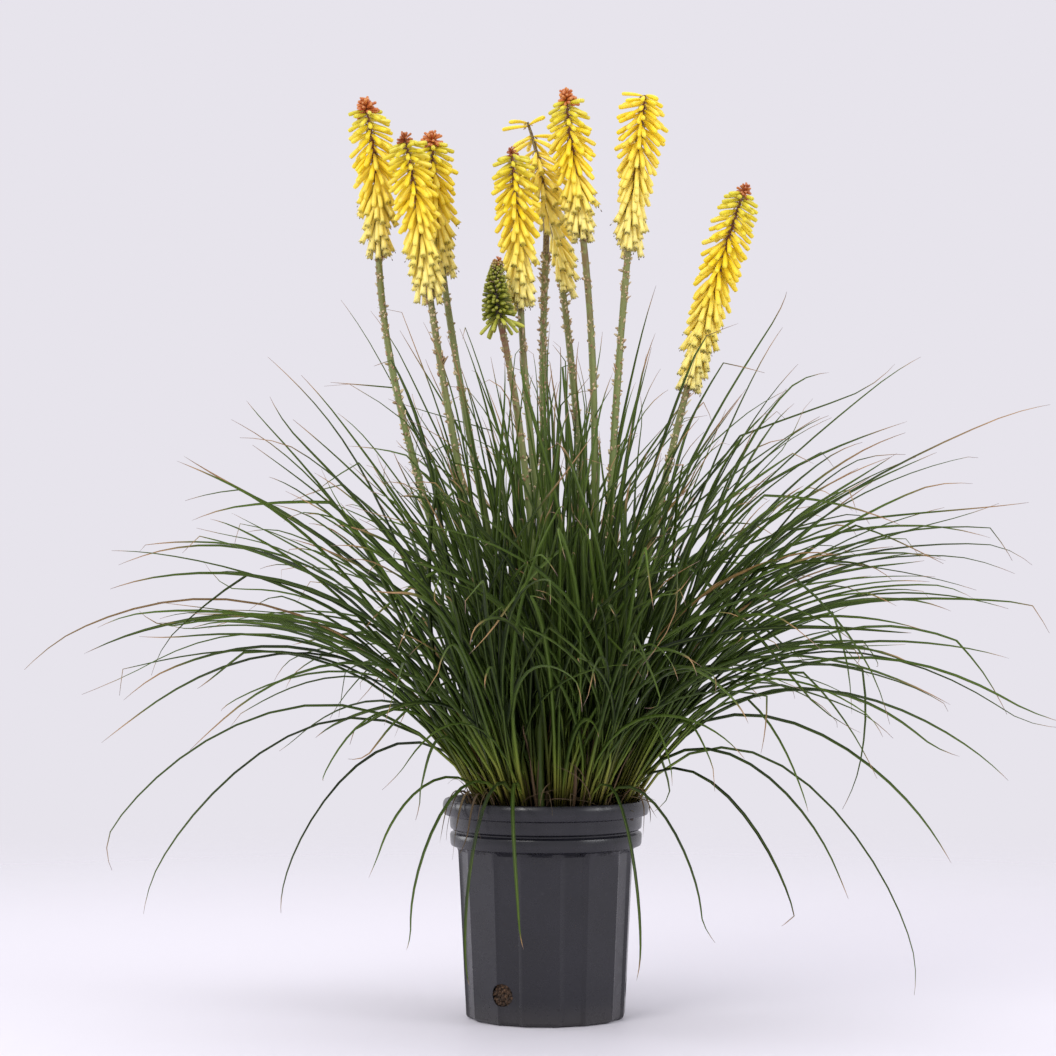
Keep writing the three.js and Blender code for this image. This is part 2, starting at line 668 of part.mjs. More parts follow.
// All the leaves: the long ones first, each on the free root that suits it best, then one by rule
// on every root that is left. A leaf that would touch another is drawn again.
function growLeaves(crowns) {
  const random = randomStream(LEAF_SEED);
  const roots = crowns.flatMap(({ body, roots: corners }, tuft) => corners.map((root) => {
    const centre = vec(0, 0, 0);
    root.forEach((corner) => centre.addScaledVector(body.points[corner], 1 / 3));
    const offset = centre.clone().sub(CLUMP_CENTRE).setZ(0);
    const azimuth = Math.atan2(offset.y, offset.x);
    return { root, tuft, centre, out: offset.length() / CROWN_REACH, azimuth };
  }));
  const taken = obstacles();
  const leaves = [];
  const settle = (place, path) => {
    const stretches = leafStretches(path, place.tuft);
    if (clearsPot(path) && clearsAll(stretches, taken)) {
      taken.push(...stretches);
      leaves.push({ ...place, ...path });
      place.used = true;
    }
    return place.used;
  };
  for (const { tip: [x, y, z], bow } of LONG_LEAVES) {
    const tip = vec(x, y, z);
    const wanted = Math.atan2(y - CLUMP_CENTRE.y, x - CLUMP_CENTRE.x);
    const tilt = Math.acos((z - SOIL_TOP) / tip.distanceTo(CLUMP_CENTRE));
    const wantedOut = clamp(tilt / radians(100), 0.1, 1);
    const cost = ({ azimuth, out }) => {
      return (1 - Math.cos(azimuth - wanted)) * 2 + Math.abs(out - wantedOut) * 1.6;
    };
    const free = roots.filter((place) => !place.used).sort((one, two) => cost(one) - cost(two));
    free.slice(0, 24).find((place) => settle(place, leafPath(place, tip, bow)));
  }
  for (const place of roots.filter(({ used }) => !used)) {
    for (let attempt = 0; attempt < BLADE_TRIES && !place.used; attempt += 1) {
      const [r1, r2, r3, r4, r5] = [random(), random(), random(), random(), random()];
      const lean = LEAN.inner + LEAN.outer * place.out ** 1.3 + LEAN.spread * (r1 - 0.5);
      const tilt = clamp(lean, LEAN.least, LEAN.most);
      const arch = ARCH.upright + ARCH.leaning * (tilt / 100) ** 1.2 + ARCH.spread * (r2 - 0.5);
      const shrink = 1 - 0.5 * (attempt / BLADE_TRIES);
      const chord = longestChord(tilt) * lerp(REACH.shortest, 1, r3) * shrink;
      const azimuth = place.azimuth + (r4 + r5 - 1) * lerp(SWING.inner, SWING.outer, place.out);
      const line = heading(azimuth, radians(tilt)).multiply(vec(1, 0.92, 1));
      const tip = place.centre.clone().addScaledVector(line, chord);
      settle(place, leafPath(place, tip, Math.max(arch, ARCH.least)));
    }
  }
  return { leaves, bare: roots.filter(({ used }) => !used) };
}

// What the leaves keep clear of: every stem and every spike.
function obstacles() {
  return FLOWERS.flatMap((flower) => {
    const { spike, stem } = flowerCurves(flower);
    const stretches = [];
    const keepClear = (from, to, radius) => stretches.push({ from, to, radius, first: false, tuft: -1 });
    for (let i = 0; i < STEM_STEPS; i += 1) {
      keepClear(stem.getPoint(i / STEM_STEPS), stem.getPoint((i + 1) / STEM_STEPS), STEM_FOOT_RADIUS);
    }
    const low = spike.getPoint(0).addScaledVector(spike.getTangent(0), -FLORET_LENGTH);
    keepClear(low, spike.getPoint(0.5), SPIKE_RADIUS);
    keepClear(spike.getPoint(0.5), spike.getPoint(1), SPIKE_RADIUS);
    return stretches;
  });
}

// One keeled blade: flat above, with a keel below, in rings of three points. Its first stretch
// keeps the shape of its root, and the keel comes round to the underside further up.
function growBlade(body, leaf) {
  const { curve, root, centre, blade } = leaf;
  const line = curve.getPoint(1).sub(curve.getPoint(0));
  const level = Math.atan2(line.y, line.x);
  const { corners, turn } = facedRoot(body, root, centre, level);
  const across = vec(-Math.sin(level), Math.cos(level), 0);
  const [sheath, ...stations] = blade.stations;
  const base = corners.map((corner) => body.points[corner].clone().sub(centre)
    .multiplyScalar(BLADE_BASE_SCALE).add(curve.getPoint(sheath)));
  const rings = stations.map((t, i) => {
    const along = curve.getTangent(t);
    const side = across.clone().addScaledVector(along, -along.dot(across)).normalize();
    side.applyAxisAngle(along, turn * blade.roll[i]);
    const under = side.clone().cross(along);
    const half = (BLADE_WIDTH * blade.taper[i + 1]) / 2;
    const keel = BLADE_KEEL * (0.5 + 0.5 * blade.taper[i + 1]);
    const point = curve.getPoint(t);
    return [
      point.clone().addScaledVector(under, keel * 0.67),
      point.clone().addScaledVector(side, half).addScaledVector(under, -keel * 0.33),
      point.clone().addScaledVector(side, -half).addScaledVector(under, -keel * 0.33),
    ];
  });
  body.grow(corners, [base, ...rings], curve.getPoint(1));
}

// The root's corners, first the one nearest the outward side, and its angle from that side.
function facedRoot(body, root, centre, level) {
  const angles = root.map((corner) => {
    const offset = body.points[corner].clone().sub(centre);
    const angle = Math.atan2(offset.y, offset.x) - level;
    return Math.atan2(Math.sin(angle), Math.cos(angle));
  });
  const first = [0, 1, 2].sort((one, two) => Math.abs(angles[one]) - Math.abs(angles[two]))[0];
  return { corners: [0, 1, 2].map((i) => root[(first + i) % 3]), turn: angles[first] };
}

// Assembly

const materials = {
  pot: { color: 0x3c3b40, roughness: 0.45 },
  soil: { color: 0x2a211a, roughness: 0.95 },
  leaf: { color: 0x45602a, roughness: 0.55 },
  stem: { color: 0x76803f, roughness: 0.55 },
  floret: { color: 0xeccb3c, roughness: 0.5 },
  greenBud: { color: 0x767c1c, roughness: 0.5 },
  orangeBud: { color: 0xd2714a, roughness: 0.5 },
};

const group = new THREE.Group();

function add(name, geometry, finish) {
  const material = new THREE.MeshStandardMaterial({ ...materials[finish], metalness: 0 });
  const mesh = new THREE.Mesh(geometry, material);
  mesh.name = name;
  group.add(mesh);
}

const tufts = tuftPlaces();
const crowns = tufts.map(crownBody);
const { leaves, bare } = growLeaves(crowns);
leaves.forEach((leaf) => growBlade(crowns[leaf.tuft].body, leaf));
bare.forEach(({ root, tuft }) => crowns[tuft].body.facets.push(root));

add('pot', potGeometry(), 'pot');
add('soil', soilGeometry(tufts), 'soil');
crowns.forEach(({ body }, i) => {
  add(`leaf_tuft_${String(i + 1).padStart(2, '0')}`, body.geometry(), 'leaf');
});
for (const flower of FLOWERS) {
  add(`flower_stem_${flower.name}`, stemGeometry(flower), 'stem');
  add(`flower_spike_${flower.name}`, spikeGeometry(flower), flower.name === 'd' ? 'greenBud' : 'floret');
  if (!['f', 'h', 'j'].includes(flower.name)) {
    add(`bud_tip_${flower.name}`, budTipGeometry(flower), 'orangeBud');
  }
}

export default group;
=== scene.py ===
import math

import bmesh
import bpy
import numpy as np
from mathutils import Matrix, Vector, noise


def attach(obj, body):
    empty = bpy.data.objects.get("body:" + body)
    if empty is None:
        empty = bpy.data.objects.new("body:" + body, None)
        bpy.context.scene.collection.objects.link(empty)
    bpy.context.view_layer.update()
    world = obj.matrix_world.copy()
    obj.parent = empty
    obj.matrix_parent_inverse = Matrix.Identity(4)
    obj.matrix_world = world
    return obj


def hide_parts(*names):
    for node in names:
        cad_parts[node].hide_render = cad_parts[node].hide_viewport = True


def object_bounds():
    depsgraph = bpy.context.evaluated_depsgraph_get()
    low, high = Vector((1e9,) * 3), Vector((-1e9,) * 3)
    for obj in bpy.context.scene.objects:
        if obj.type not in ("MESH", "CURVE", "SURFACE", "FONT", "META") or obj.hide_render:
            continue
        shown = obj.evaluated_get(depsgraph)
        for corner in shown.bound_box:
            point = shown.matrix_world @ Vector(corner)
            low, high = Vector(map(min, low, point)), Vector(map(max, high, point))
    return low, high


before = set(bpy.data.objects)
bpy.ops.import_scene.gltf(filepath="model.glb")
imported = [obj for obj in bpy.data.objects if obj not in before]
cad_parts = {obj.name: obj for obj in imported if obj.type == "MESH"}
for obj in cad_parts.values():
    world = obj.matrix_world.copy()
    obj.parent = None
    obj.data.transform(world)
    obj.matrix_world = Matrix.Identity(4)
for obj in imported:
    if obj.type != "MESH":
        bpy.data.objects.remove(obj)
cad_low, cad_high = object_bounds()

MM = 0.001

# Pot and soil
POT_FACETS = 240
POT_SMOOTH_DEGREES = 28
PANEL_PAIRS = 8
WIDE_PANEL_DEGREES = 26
STEP_DEGREES = 2.4
PANEL_STEP = 1.6
PANEL_TURN = -94
PANELS_END = 172
PANELS_FADE = 3
NARROW_PANEL_FLATNESS = 0.995
WALL_AT_HOLES = 83
DRAIN_HOLE_RADIUS = 11.5
DRAIN_HOLE_HEIGHT = 31
DRAIN_HOLE_DEPTH = 24
DRAIN_HOLE_AZIMUTHS = (-123, -3, 117)
HOLE_CRUMBS_AT = 79.8
CRUMBS_PER_HOLE = 150
SOIL_FACETS = 120
SOIL_SMOOTH_DEGREES = 50
SOIL_TOP = 212
SOIL_RADIUS = 94
SOIL_RINGS = 28
SOIL_RING_STEP = 3.2
SOIL_MOUND = 3
SOIL_SETTLED = 2.5
LUMPS_ABOVE = 205
LUMP_SIZE = 9
LUMP_HEIGHT = 3.2
CHIPS = 900
CHIPS_REACH = 93
CHIPS_AT = 210.6

# The pot's outline, (radius, height): up the outside, over the rim and down the inside.
POT_OUTLINE = (
    (76, 0), (79.6, 0.2), (81.6, 1.4), (83, 3.6), (84.2, 26), (85.4, 50), (86.6, 76), (88, 104),
    (89.3, 132), (90.6, 158), (91.4, 172), (92.4, 175.4), (95.2, 176.6), (97.6, 177.6), (98.5, 179.6),
    (98.8, 184), (99, 188.6), (98.4, 190), (96.6, 190.8), (95.5, 192), (95.5, 193.2), (96.8, 194.4),
    (98.2, 195.2), (98.8, 197), (99, 202), (99.2, 206.6), (99.4, 207.8), (102.6, 208.6), (105, 209.6),
    (105.8, 211.4), (106.3, 216), (106.4, 219.4), (105.8, 222.4), (104.4, 224.4), (102.6, 225),
    (100.9, 224.4), (99.9, 222.8), (98.6, 218), (97, 215.2), (94.4, 190), (92.6, 178), (89.2, 172),
    (86.6, 104), (83.6, 40), (81.4, 6), (79, 3.2),
)

# The soil's outline up the wall of the pot, (radius, height).
SOIL_OUTLINE = ((76, 3.3), (78, 6), (83, 104), (85.6, 171), (90, 182), (92, 196), (93.4, 207), (94, 211))

# Leaves
BLADE_ROWS = 16
# How far along a leaf each row of its points lies: they stand closer towards the tip, where it bends.
BLADE_SHARES = 1 - (1 - np.linspace(0, 1, BLADE_ROWS + 1)) ** 1.4
# How wide it is at each row: a little narrower at the root, and pointed.
BLADE_TAPER = (1 - BLADE_SHARES ** 4) ** 0.9 * (1 - 0.3 * np.exp(-BLADE_SHARES / 0.1)) + 0.035
BLADE_WIDTH = 5.3
BLADE_ROLL = 0.45
BLADE_TWIST = 0.9
ROOT_DEPTH = 4
# Where a packed blade has its rings of points, as shares of its curve from the tip to the root.
ARCHED_STATIONS = (1, 0.84, 0.65, 0.45, 0.25, 0.07, 0)
STRAIGHT_STATIONS = (1, 0.74, 0.4, 0.07, 0)

# The waves, hooks and kinks of a leaf. A hook's reach is drawn from a gamma distribution, and kinks
# are placed by shares of the rows.
WAVES = (2, 6)
WAVE_SIZE = 0.007
HOOK_REACH = (1.3, 9)
HOOK_DROP = -0.7
HOOK_FROM = 0.88
KINK_DEGREES = (15, 85)
KINKS_UP_TO = 0.9
KINKS_OVER = 0.5
KINKED_LEAVES = 0.2
KINKED_EXTRA_LEAVES = 0.4

# The clump: leaves that root further out lean further out, and those that lean more arch more.
# Tilt and bow are in degrees, swing is in radians, and SHORTEST is a share of the longest.
CLUMP_CENTRE = np.array([8, 0, SOIL_TOP]) * MM
CLUMP_SHAPE = np.array([1, 0.92, 1])
OUTERMOST_ROOT = 84.6
TUFT_RADIUS = 13
EXTRA_LEAVES_PER_TUFT = 32
TRIES_PER_LEAF = 30
TILT = {"middle": 4, "outward": 66, "spread": 46, "least": 2, "most": 112}
BOW = {"upright": 6, "leaning": 56, "spread": 18, "least": 3}
SWING = {"middle": 2.5, "outward": -1.3}
LONGEST = {"upright": 485, "leaning": 545, "hanging": 400}
SHORTEST = 0.55
SIDE_REACH = 190
LEFT_LEAVES_KEPT = 0.2
RIGHT_LEAVES_KEPT = 0.68
BEYOND_CAD = 18

# What leaves keep clear of: the rim between two radii and up to a height, the inside of the pot, the
# floor, and the axes of the spikes.
RIM_INSIDE = 91
RIM_OUTSIDE = 111
RIM_CLEARED = 230
POT_CLEARED = 206
FLOOR_CLEARED = 12
TIP_OFF_FLOOR = 30
SPIKES_CLEARED = 29

# How light the leaves are (mean, spread), how much of a tip is dry (least, most), and how many
# leaves are withered.
LEAF_LIGHT = (0.38, 0.32)
DRY_TIP = (0.03, 0.2)
WITHERED_LEAVES = 0.015

# Dry pieces
SHEATHS = 55
FIBRES = 150
SHEATH_REACH = 78
DRY_WAVER = 0.6
# Dead leaves over the rim: the azimuth in degrees, and how far the tip hangs below the rim.
RIM_LEAVES = (
    (-148, 34), (-143, 52), (-139, 20), (-133, 46), (-126, 28), (-31, 12), (-26, 8), (20, 30), (95, 40),
    (140, 26), (205, 38),
)

# Flowers: foot is the place in the soil (x, y); neck, middle and tip are points (x, z) on the axis
# of the spike, which stands at the depth y. florets is how many the spike carries, and opened is the
# share of them, from the bottom, that are open.
FLOWERS = {
    "a": {"foot": (-58, 20), "y": 18, "neck": (-174, 812), "middle": (-177, 878), "tip": (-186, 938),
          "florets": 128, "opened": 0.4},
    "b": {"foot": (-44, -22), "y": -24, "neck": (-122, 764), "middle": (-133, 840), "tip": (-144, 900),
          "florets": 142, "opened": 0.3},
    "c": {"foot": (-26, 34), "y": 28, "neck": (-110, 794), "middle": (-116, 855), "tip": (-118, 904),
          "florets": 116, "opened": 0.35},
    "d": {"foot": (-6, -58), "y": -62, "neck": (-47, 716), "middle": (-51, 746), "tip": (-49, 773),
          "florets": 190, "opened": 0},
    "e": {"foot": (20, -28), "y": -32, "neck": (-27, 757), "middle": (-30, 824), "tip": (-35, 886),
          "florets": 134, "opened": 0.33},
    "f": {"foot": (8, 14), "y": 18, "neck": (0, 788), "middle": (-3, 858), "tip": (-19, 925),
          "florets": 110, "opened": 0.75},
    "g": {"foot": (44, 4), "y": -14, "neck": (35, 828), "middle": (28, 884), "tip": (21, 943),
          "florets": 124, "opened": 0.4},
    "h": {"foot": (58, -40), "y": -6, "neck": (87, 814), "middle": (95, 892), "tip": (102, 950),
          "florets": 142, "opened": 0.22},
    "i": {"foot": (74, 12), "y": 6, "neck": (152, 672), "middle": (178, 768), "tip": (204, 850),
          "florets": 178, "opened": 0.36},
    "j": {"foot": (46, 54), "y": 66, "neck": (15, 776), "middle": (8, 816), "tip": (-1, 850),
          "florets": 80, "opened": 0.65},
}
YOUNG = "d"
WITHOUT_TIP_BUDS = "fhj"
# What else differs between flowers. "other" holds for those that aren't named. scales is how many dry
# scales a stem has, and how far down from the spike they reach.
TRAITS = {
    "flush": {"b": 0.5, "d": 0.9, "e": 0.5, "g": 0.6, "other": 0.2},
    "shortened": {"f": 0.15, "h": 0.35, "other": 0.42},
    "youth": {"f": 0.55, "j": 0.5, "h": 0.75, "other": 1},
    "scarred": {"f": 0.75, "j": 0.75, "other": 0.1},
    "tip_buds": {"d": 18, "e": 24, "b": 24, "i": 28, "other": 46},
    "tip_size": {"d": 0.5, "e": 0.62, "b": 0.8, "i": 0.85, "other": 1},
    "tip_ripe": {"b": 0.7, "e": 0.8, "i": 0.45, "d": 0.6, "other": 0.2},
    "scales": {"f": (420, 0.45), "j": (260, 0.4), "h": (330, 0.55), "a": (260, 0.45), "b": (220, 0.45),
               "i": (140, 0.3), "c": (150, 0.4), "other": (110, 0.4)},
}
# How florets and buds stand, in degrees above level: the lowest, the gain up the spike, the spread.
FLORET_RISE = (-74, 72, 6)
BUD_RISE = (-10, 62, 8)
TIP_BUD_RISE = (-16, 84, 9)
SCALE_RISE = (58, 22)
TOPMOST_RISE = 14
FLORET_LENGTH = 31
FLORET_RADIUS = 2.8
# The few loose buds at the foot of the young spike.
LOOSE_BUDS = {"share": 0.06, "rise": -34, "length": 25, "radius": 1.9}
RACHIS_RADIUS = 3.6
KNOT_DEPTH = 0.1
KNOTS_UP = 120
KNOTS_ROUND = 5
STALK_ROWS = 40
STALK_SIDES = 10
STALK_DEPTH = 12
STALK_RADIUS = 4.3
STALK_NARROWS = 0.8
ANTHERS_PER_FLORET = 4
ANTHERS_LEFT = 0.65
ANTHER_RADIUS = 0.42
BRACTS_FROM = 0.45
BRACT_RADIUS = 0.8
GOLDEN_ANGLE = math.pi * (3 - math.sqrt(5))

# Studio: each light's name, place, the point it faces, size, watts and colour.
LIGHTS = (
    ("key", (-1.6, -2.4, 2.6), (0, 0, 0.5), 1.4, 50, (1, 0.99, 0.97)),
    ("top", (0.3, 0.4, 3.2), (0, 0, 0.3), 2.4, 26, (1, 1, 1)),
    ("left_edge", (-2.3, 1.0, 0.7), (0, 0, 0.3), 1.0, 12, (0.98, 0.99, 1)),
    ("right", (2.4, -1.2, 1.4), (0, 0, 0.45), 1.2, 22, (0.97, 0.98, 1)),
)
CAMERA_PLACE = (-0.0185, -3.5, 0.504)
CAMERA_LENS = 115.6
FLOOR_RADIUS = 5.2
FLOOR_FADES = (0.3, 2.6)


# Selecting and shaping by hand


def deselect():
    """Leaves edit mode and deselects every object."""
    if bpy.context.object and bpy.context.object.mode != "OBJECT":
        bpy.ops.object.mode_set(mode="OBJECT")
    bpy.ops.object.select_all(action="DESELECT")


def pick(test):
    """In edit mode, selects the points of the piece whose place passes the test."""
    bpy.ops.object.mode_set(mode="OBJECT")
    mesh = bpy.context.object.data
    mesh.polygons.foreach_set("select", [False] * len(mesh.polygons))
    mesh.edges.foreach_set("select", [False] * len(mesh.edges))
    mesh.vertices.foreach_set("select", [bool(test(v.co)) for v in mesh.vertices])
    bpy.ops.object.mode_set(mode="EDIT")


def draw_ring(sides, radius, height, fill="NOTHING"):
    """Starts a new piece with one ring of points and leaves it selected in edit mode."""
    deselect()
    bpy.ops.mesh.primitive_circle_add(
        vertices=sides, radius=radius, fill_type=fill, location=(0, 0, height))
    bpy.ops.object.transform_apply(location=True)
    bpy.context.tool_settings.mesh_select_mode = (True, False, False)
    bpy.ops.object.mode_set(mode="EDIT")
    bpy.ops.mesh.select_all(action="SELECT")
    return bpy.context.object


def follow_outline(outline):
    """Extrudes the selected ring through each (radius, height) of an outline."""
    for (radius, height), (wider, higher) in zip(outline, outline[1:]):
        bpy.ops.mesh.extrude_region_move(TRANSFORM_OT_translate={"value": (0, 0, higher - height)})
        bpy.ops.transform.resize(value=(wider / radius, wider / radius, 1), center_override=(0, 0, 0))


def leave_edit():
    """Turns all faces outwards and ends edit mode."""
    bpy.ops.mesh.select_all(action="SELECT")
    bpy.ops.mesh.normals_make_consistent(inside=False)
    bpy.ops.object.mode_set(mode="OBJECT")


def apply_modifier(piece, kind, **settings):
    """Adds a modifier to the active piece and applies it."""
    modifier = piece.modifiers.new(kind.title(), kind)
    for key, value in settings.items():
        setattr(modifier, key, value)
    bpy.ops.object.modifier_apply(modifier=modifier.name)


def smooth(piece, degrees):
    """Shades a piece smooth, apart from edges that turn by more than this."""
    deselect()
    bpy.context.view_layer.objects.active = piece
    piece.select_set(True)
    bpy.ops.object.shade_smooth_by_angle(angle=math.radians(degrees))


# Patterns: what repeats is modelled once, and copied with its points moved to each place


class Pattern:
    """The points, faces and UV of a shape that is modelled once and then copied."""

    def __init__(self, piece, uv):
        mesh = piece.data
        self.points = np.array([v.co for v in mesh.vertices])
        self.faces = [np.array(face.vertices) for face in mesh.polygons]
        self.uv = np.concatenate([uv(self.points[face]) for face in self.faces])
        bpy.data.objects.remove(piece)


def round_uv(corners):
    """UV round a tube: the angle, and the height."""
    turn = np.arctan2(corners[:, 1], corners[:, 0]) / (2 * math.pi) + 0.5
    turn[(turn.max() - turn > 0.5)] += 1
    return np.column_stack([turn, corners[:, 2]])


def flat_uv(corners):
    """UV of a blade: across it, and along it."""
    row = np.rint(corners[:, 1] * BLADE_ROWS).astype(int)
    return np.column_stack([corners[:, 0] / 2 + 0.5, BLADE_SHARES[row]])


def stack(name, batches, finish, nodes=()):
    """One piece that holds all the copies. Each batch is (pattern, points of the copies, tone of
    each copy), and a tone is three numbers that the finish reads."""
    points, faces, uv, tones = [], [], [], []
    first = 0
    for pattern, places, tone in batches:
        copies, count = places.shape[:2]
        points.append(places.reshape(-1, 3))
        for shift in range(first, first + copies * count, count):
            faces.extend((face + shift).tolist() for face in pattern.faces)
        uv.append(np.tile(pattern.uv, (copies, 1)))
        tones.append(np.repeat(np.column_stack([tone, np.ones(copies)]), count, axis=0))
        first += copies * count
    mesh = bpy.data.meshes.new(name)
    mesh.from_pydata(np.concatenate(points), [], faces)
    mesh.uv_layers.new(name="along").data.foreach_set("uv", np.concatenate(uv).ravel())
    mesh.attributes.new("tone", "FLOAT_COLOR", "POINT").data.foreach_set(
        "color", np.concatenate(tones).astype(np.float32).ravel())
    mesh.polygons.foreach_set("use_smooth", [True] * len(mesh.polygons))
    mesh.validate()
    piece = bpy.data.objects.new(name, mesh)
    bpy.context.scene.collection.objects.link(piece)
    return hand_over(piece, finish, nodes)


def hand_over(piece, finish, nodes=()):
    """Gives a finished piece its material and its place in the part."""
    piece.data.materials.clear()
    piece.data.materials.append(finish)
    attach(piece, "root")
    if nodes:
        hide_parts(*nodes)
    return piece


def blade_pattern():
    """A strip one unit long and two wide, with thin edges and a keel one unit deep below it."""
    deselect()
    bpy.ops.mesh.primitive_grid_add(x_subdivisions=2, y_subdivisions=BLADE_ROWS, size=2)
    piece = bpy.context.object
    bpy.ops.object.mode_set(mode="EDIT")
    bpy.ops.mesh.select_all(action="SELECT")
    bpy.ops.transform.resize(value=(1, 0.5, 1), center_override=(0, 0, 0))
    bpy.ops.transform.translate(value=(0, 0.5, 0))
    bpy.ops.object.mode_set(mode="OBJECT")
    apply_modifier(piece, "SOLIDIFY", thickness=1, offset=-1, use_even_offset=False)
    pick(lambda co: co.z < -0.5 and abs(co.x) > 0.5)
    bpy.ops.transform.translate(value=(0, 0, 1))
    bpy.ops.mesh.select_all(action="SELECT")
    bpy.ops.mesh.remove_doubles(threshold=0.001)
    leave_edit()
    return Pattern(piece, flat_uv)


def tube_pattern(sides, outline):
    """A closed tube through (height, radius) pairs, with a flat foot and a blunt top."""
    low, first = outline[0]
    piece = draw_ring(sides, first, low)
    follow_outline([(radius, height) for height, radius in outline])
    bpy.ops.mesh.extrude_region_move(TRANSFORM_OT_translate={"value": (0, 0, 0.02)})
    bpy.ops.mesh.merge(type="CENTER")
    pick(lambda co: abs(co.z - low) < 1e-6)
    bpy.ops.mesh.edge_face_add()
    leave_edit()
    return Pattern(piece, round_uv)


def bud_pattern():
    """A closed floret: a slim club one unit long and one in radius."""
    return tube_pattern(6, [(0, 0.34), (0.12, 0.55), (0.35, 0.82), (0.62, 0.95), (0.85, 1), (0.95, 0.76)])


def open_pattern():
    """An open floret: a tube with a flared mouth of six small lobes, hollow inside."""
    outline = [(0.34, 0), (0.52, 0.12), (0.78, 0.35), (0.93, 0.6), (1, 0.84), (1.14, 0.97)]
    piece = draw_ring(6, outline[0][0], 0)
    follow_outline(outline)
    mouth_radius, mouth = outline[-1]
    bpy.ops.mesh.subdivide(number_cuts=1)
    halfway = mouth_radius * math.cos(math.pi / 6)
    at_mouth = lambda co: co.z > mouth - 1e-4
    pick(lambda co: at_mouth(co) and math.hypot(co.x, co.y) < halfway + 1e-3)
    bpy.ops.transform.translate(value=(0, 0, 0.06))
    bpy.ops.transform.resize(value=(1.35, 1.35, 1), center_override=(0, 0, 0))
    pick(at_mouth)
    bpy.ops.mesh.extrude_region_move(TRANSFORM_OT_translate={"value": (0, 0, -0.1)})
    bpy.ops.mesh.merge(type="CENTER")
    pick(lambda co: co.z < 1e-6)
    bpy.ops.mesh.edge_face_add()
    leave_edit()
    return Pattern(piece, round_uv)


# Curves


def bezier(controls, shares):
    """Points on a Bezier curve at the given shares of its run."""
    shares = np.asarray(shares, float)[:, None, None]
    rows = np.repeat(np.asarray(controls, float)[None], len(shares), axis=0)
    while rows.shape[1] > 1:
        rows = rows[:, :-1] * (1 - shares) + rows[:, 1:] * shares
    return rows[:, 0]


def unit(vectors):
    """The same directions with a length of one."""
    return vectors / np.maximum(np.linalg.norm(vectors, axis=-1, keepdims=True), 1e-9)


def turned(first, second, angle):
    """Two directions at right angles, both turned in their plane: the first towards the second."""
    cos, sin = np.cos(angle)[..., None], np.sin(angle)[..., None]
    return first * cos + second * sin, second * cos - first * sin


def level(azimuth):
    """The level direction at an azimuth in radians."""
    return np.array([math.cos(azimuth), math.sin(azimuth), 0])


def heading(azimuth, tilt):
    """The direction that leans from upright by a tilt towards an azimuth, in radians."""
    lean = math.sin(tilt)
    return np.array([lean * math.cos(azimuth), lean * math.sin(azimuth), math.cos(tilt)])


def frame_along(lines, across):
    """At each point of each line: its side, and its upper face."""
    along = unit(np.gradient(lines, axis=-2))
    side = unit(across - along * np.sum(along * across, axis=-1, keepdims=True))
    return side, np.cross(along, side)


def flower_curves(flower):
    """The control points of a flower's stem and of its spike."""
    neck, middle, tip = (np.array([flower[point][0], flower["y"], flower[point][1]]) * MM
                         for point in ("neck", "middle", "tip"))
    control = 2 * middle - (neck + tip) / 2
    tangent = unit(control - neck)
    foot = np.array([*flower["foot"], SOIL_TOP + 2]) * MM
    span = np.linalg.norm(neck - foot)
    rise = foot + np.array([0, 0, 0.3 * span])
    return [foot, rise, neck - 0.36 * span * tangent, neck], [neck, control, tip]


# Leaves stay clear of these: the axes of the spikes, from a little below them.
SPIKE_AXES = [bezier(flower_curves(flower)[1], np.linspace(-0.15, 1, 14)) for flower in FLOWERS.values()]


# Leaves


def blade_lines(node):
    """The control points of each blade of a CAD tuft. A blade's tip is a point with three edges, and
    from it the rings of three points are followed down to the root: four steps on a straight blade,
    six on an arched one."""
    mesh = bmesh.new()
    mesh.from_mesh(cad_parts[node].data)
    bmesh.ops.remove_doubles(mesh, verts=mesh.verts, dist=0.01 * MM)
    found = []
    for tip in [v for v in mesh.verts if len(v.link_edges) == 3]:
        ring, seen = {tip}, {tip}
        middles = []
        while len(ring) in (1, 3):
            middles.append(np.mean([v.co[:] for v in ring], axis=0))
            ring = {edge.other_vert(v) for v in ring for edge in v.link_edges} - seen
            seen |= ring
        arched = len(middles) == len(ARCHED_STATIONS)
        t = np.array(ARCHED_STATIONS if arched else STRAIGHT_STATIONS)
        weights = np.column_stack([(1 - t) ** 3, 3 * t * (1 - t) ** 2, 3 * t ** 2 * (1 - t), t ** 3])
        found.append(np.linalg.lstsq(weights, np.array(middles), rcond=None)[0])
    mesh.free()
    return found


def place_in_clump(root):
    """A root's azimuth from the middle of the clump, and how far out it is, from 0 to 1."""
    x, y, _ = root - CLUMP_CENTRE
    return math.atan2(y, x), min(math.hypot(x, y) / (OUTERMOST_ROOT * MM), 1)


def leaf_controls(root, tip, bow):
    """A leaf's curve: it leans out more the further its root is from the middle of the clump."""
    azimuth, out = place_in_clump(root)
    line = tip - root
    chord = np.linalg.norm(line)
    bend = bow / math.radians(60)
    launch = heading(azimuth, math.radians(2 + 33 * out))
    landing = heading(math.atan2(line[1], line[0]), math.acos(line[2] / chord) + bow)
    return np.array([
        root, root + launch * chord * (0.38 + 0.28 * bend),
        tip - landing * chord * (0.33 - 0.03 * bend), tip])


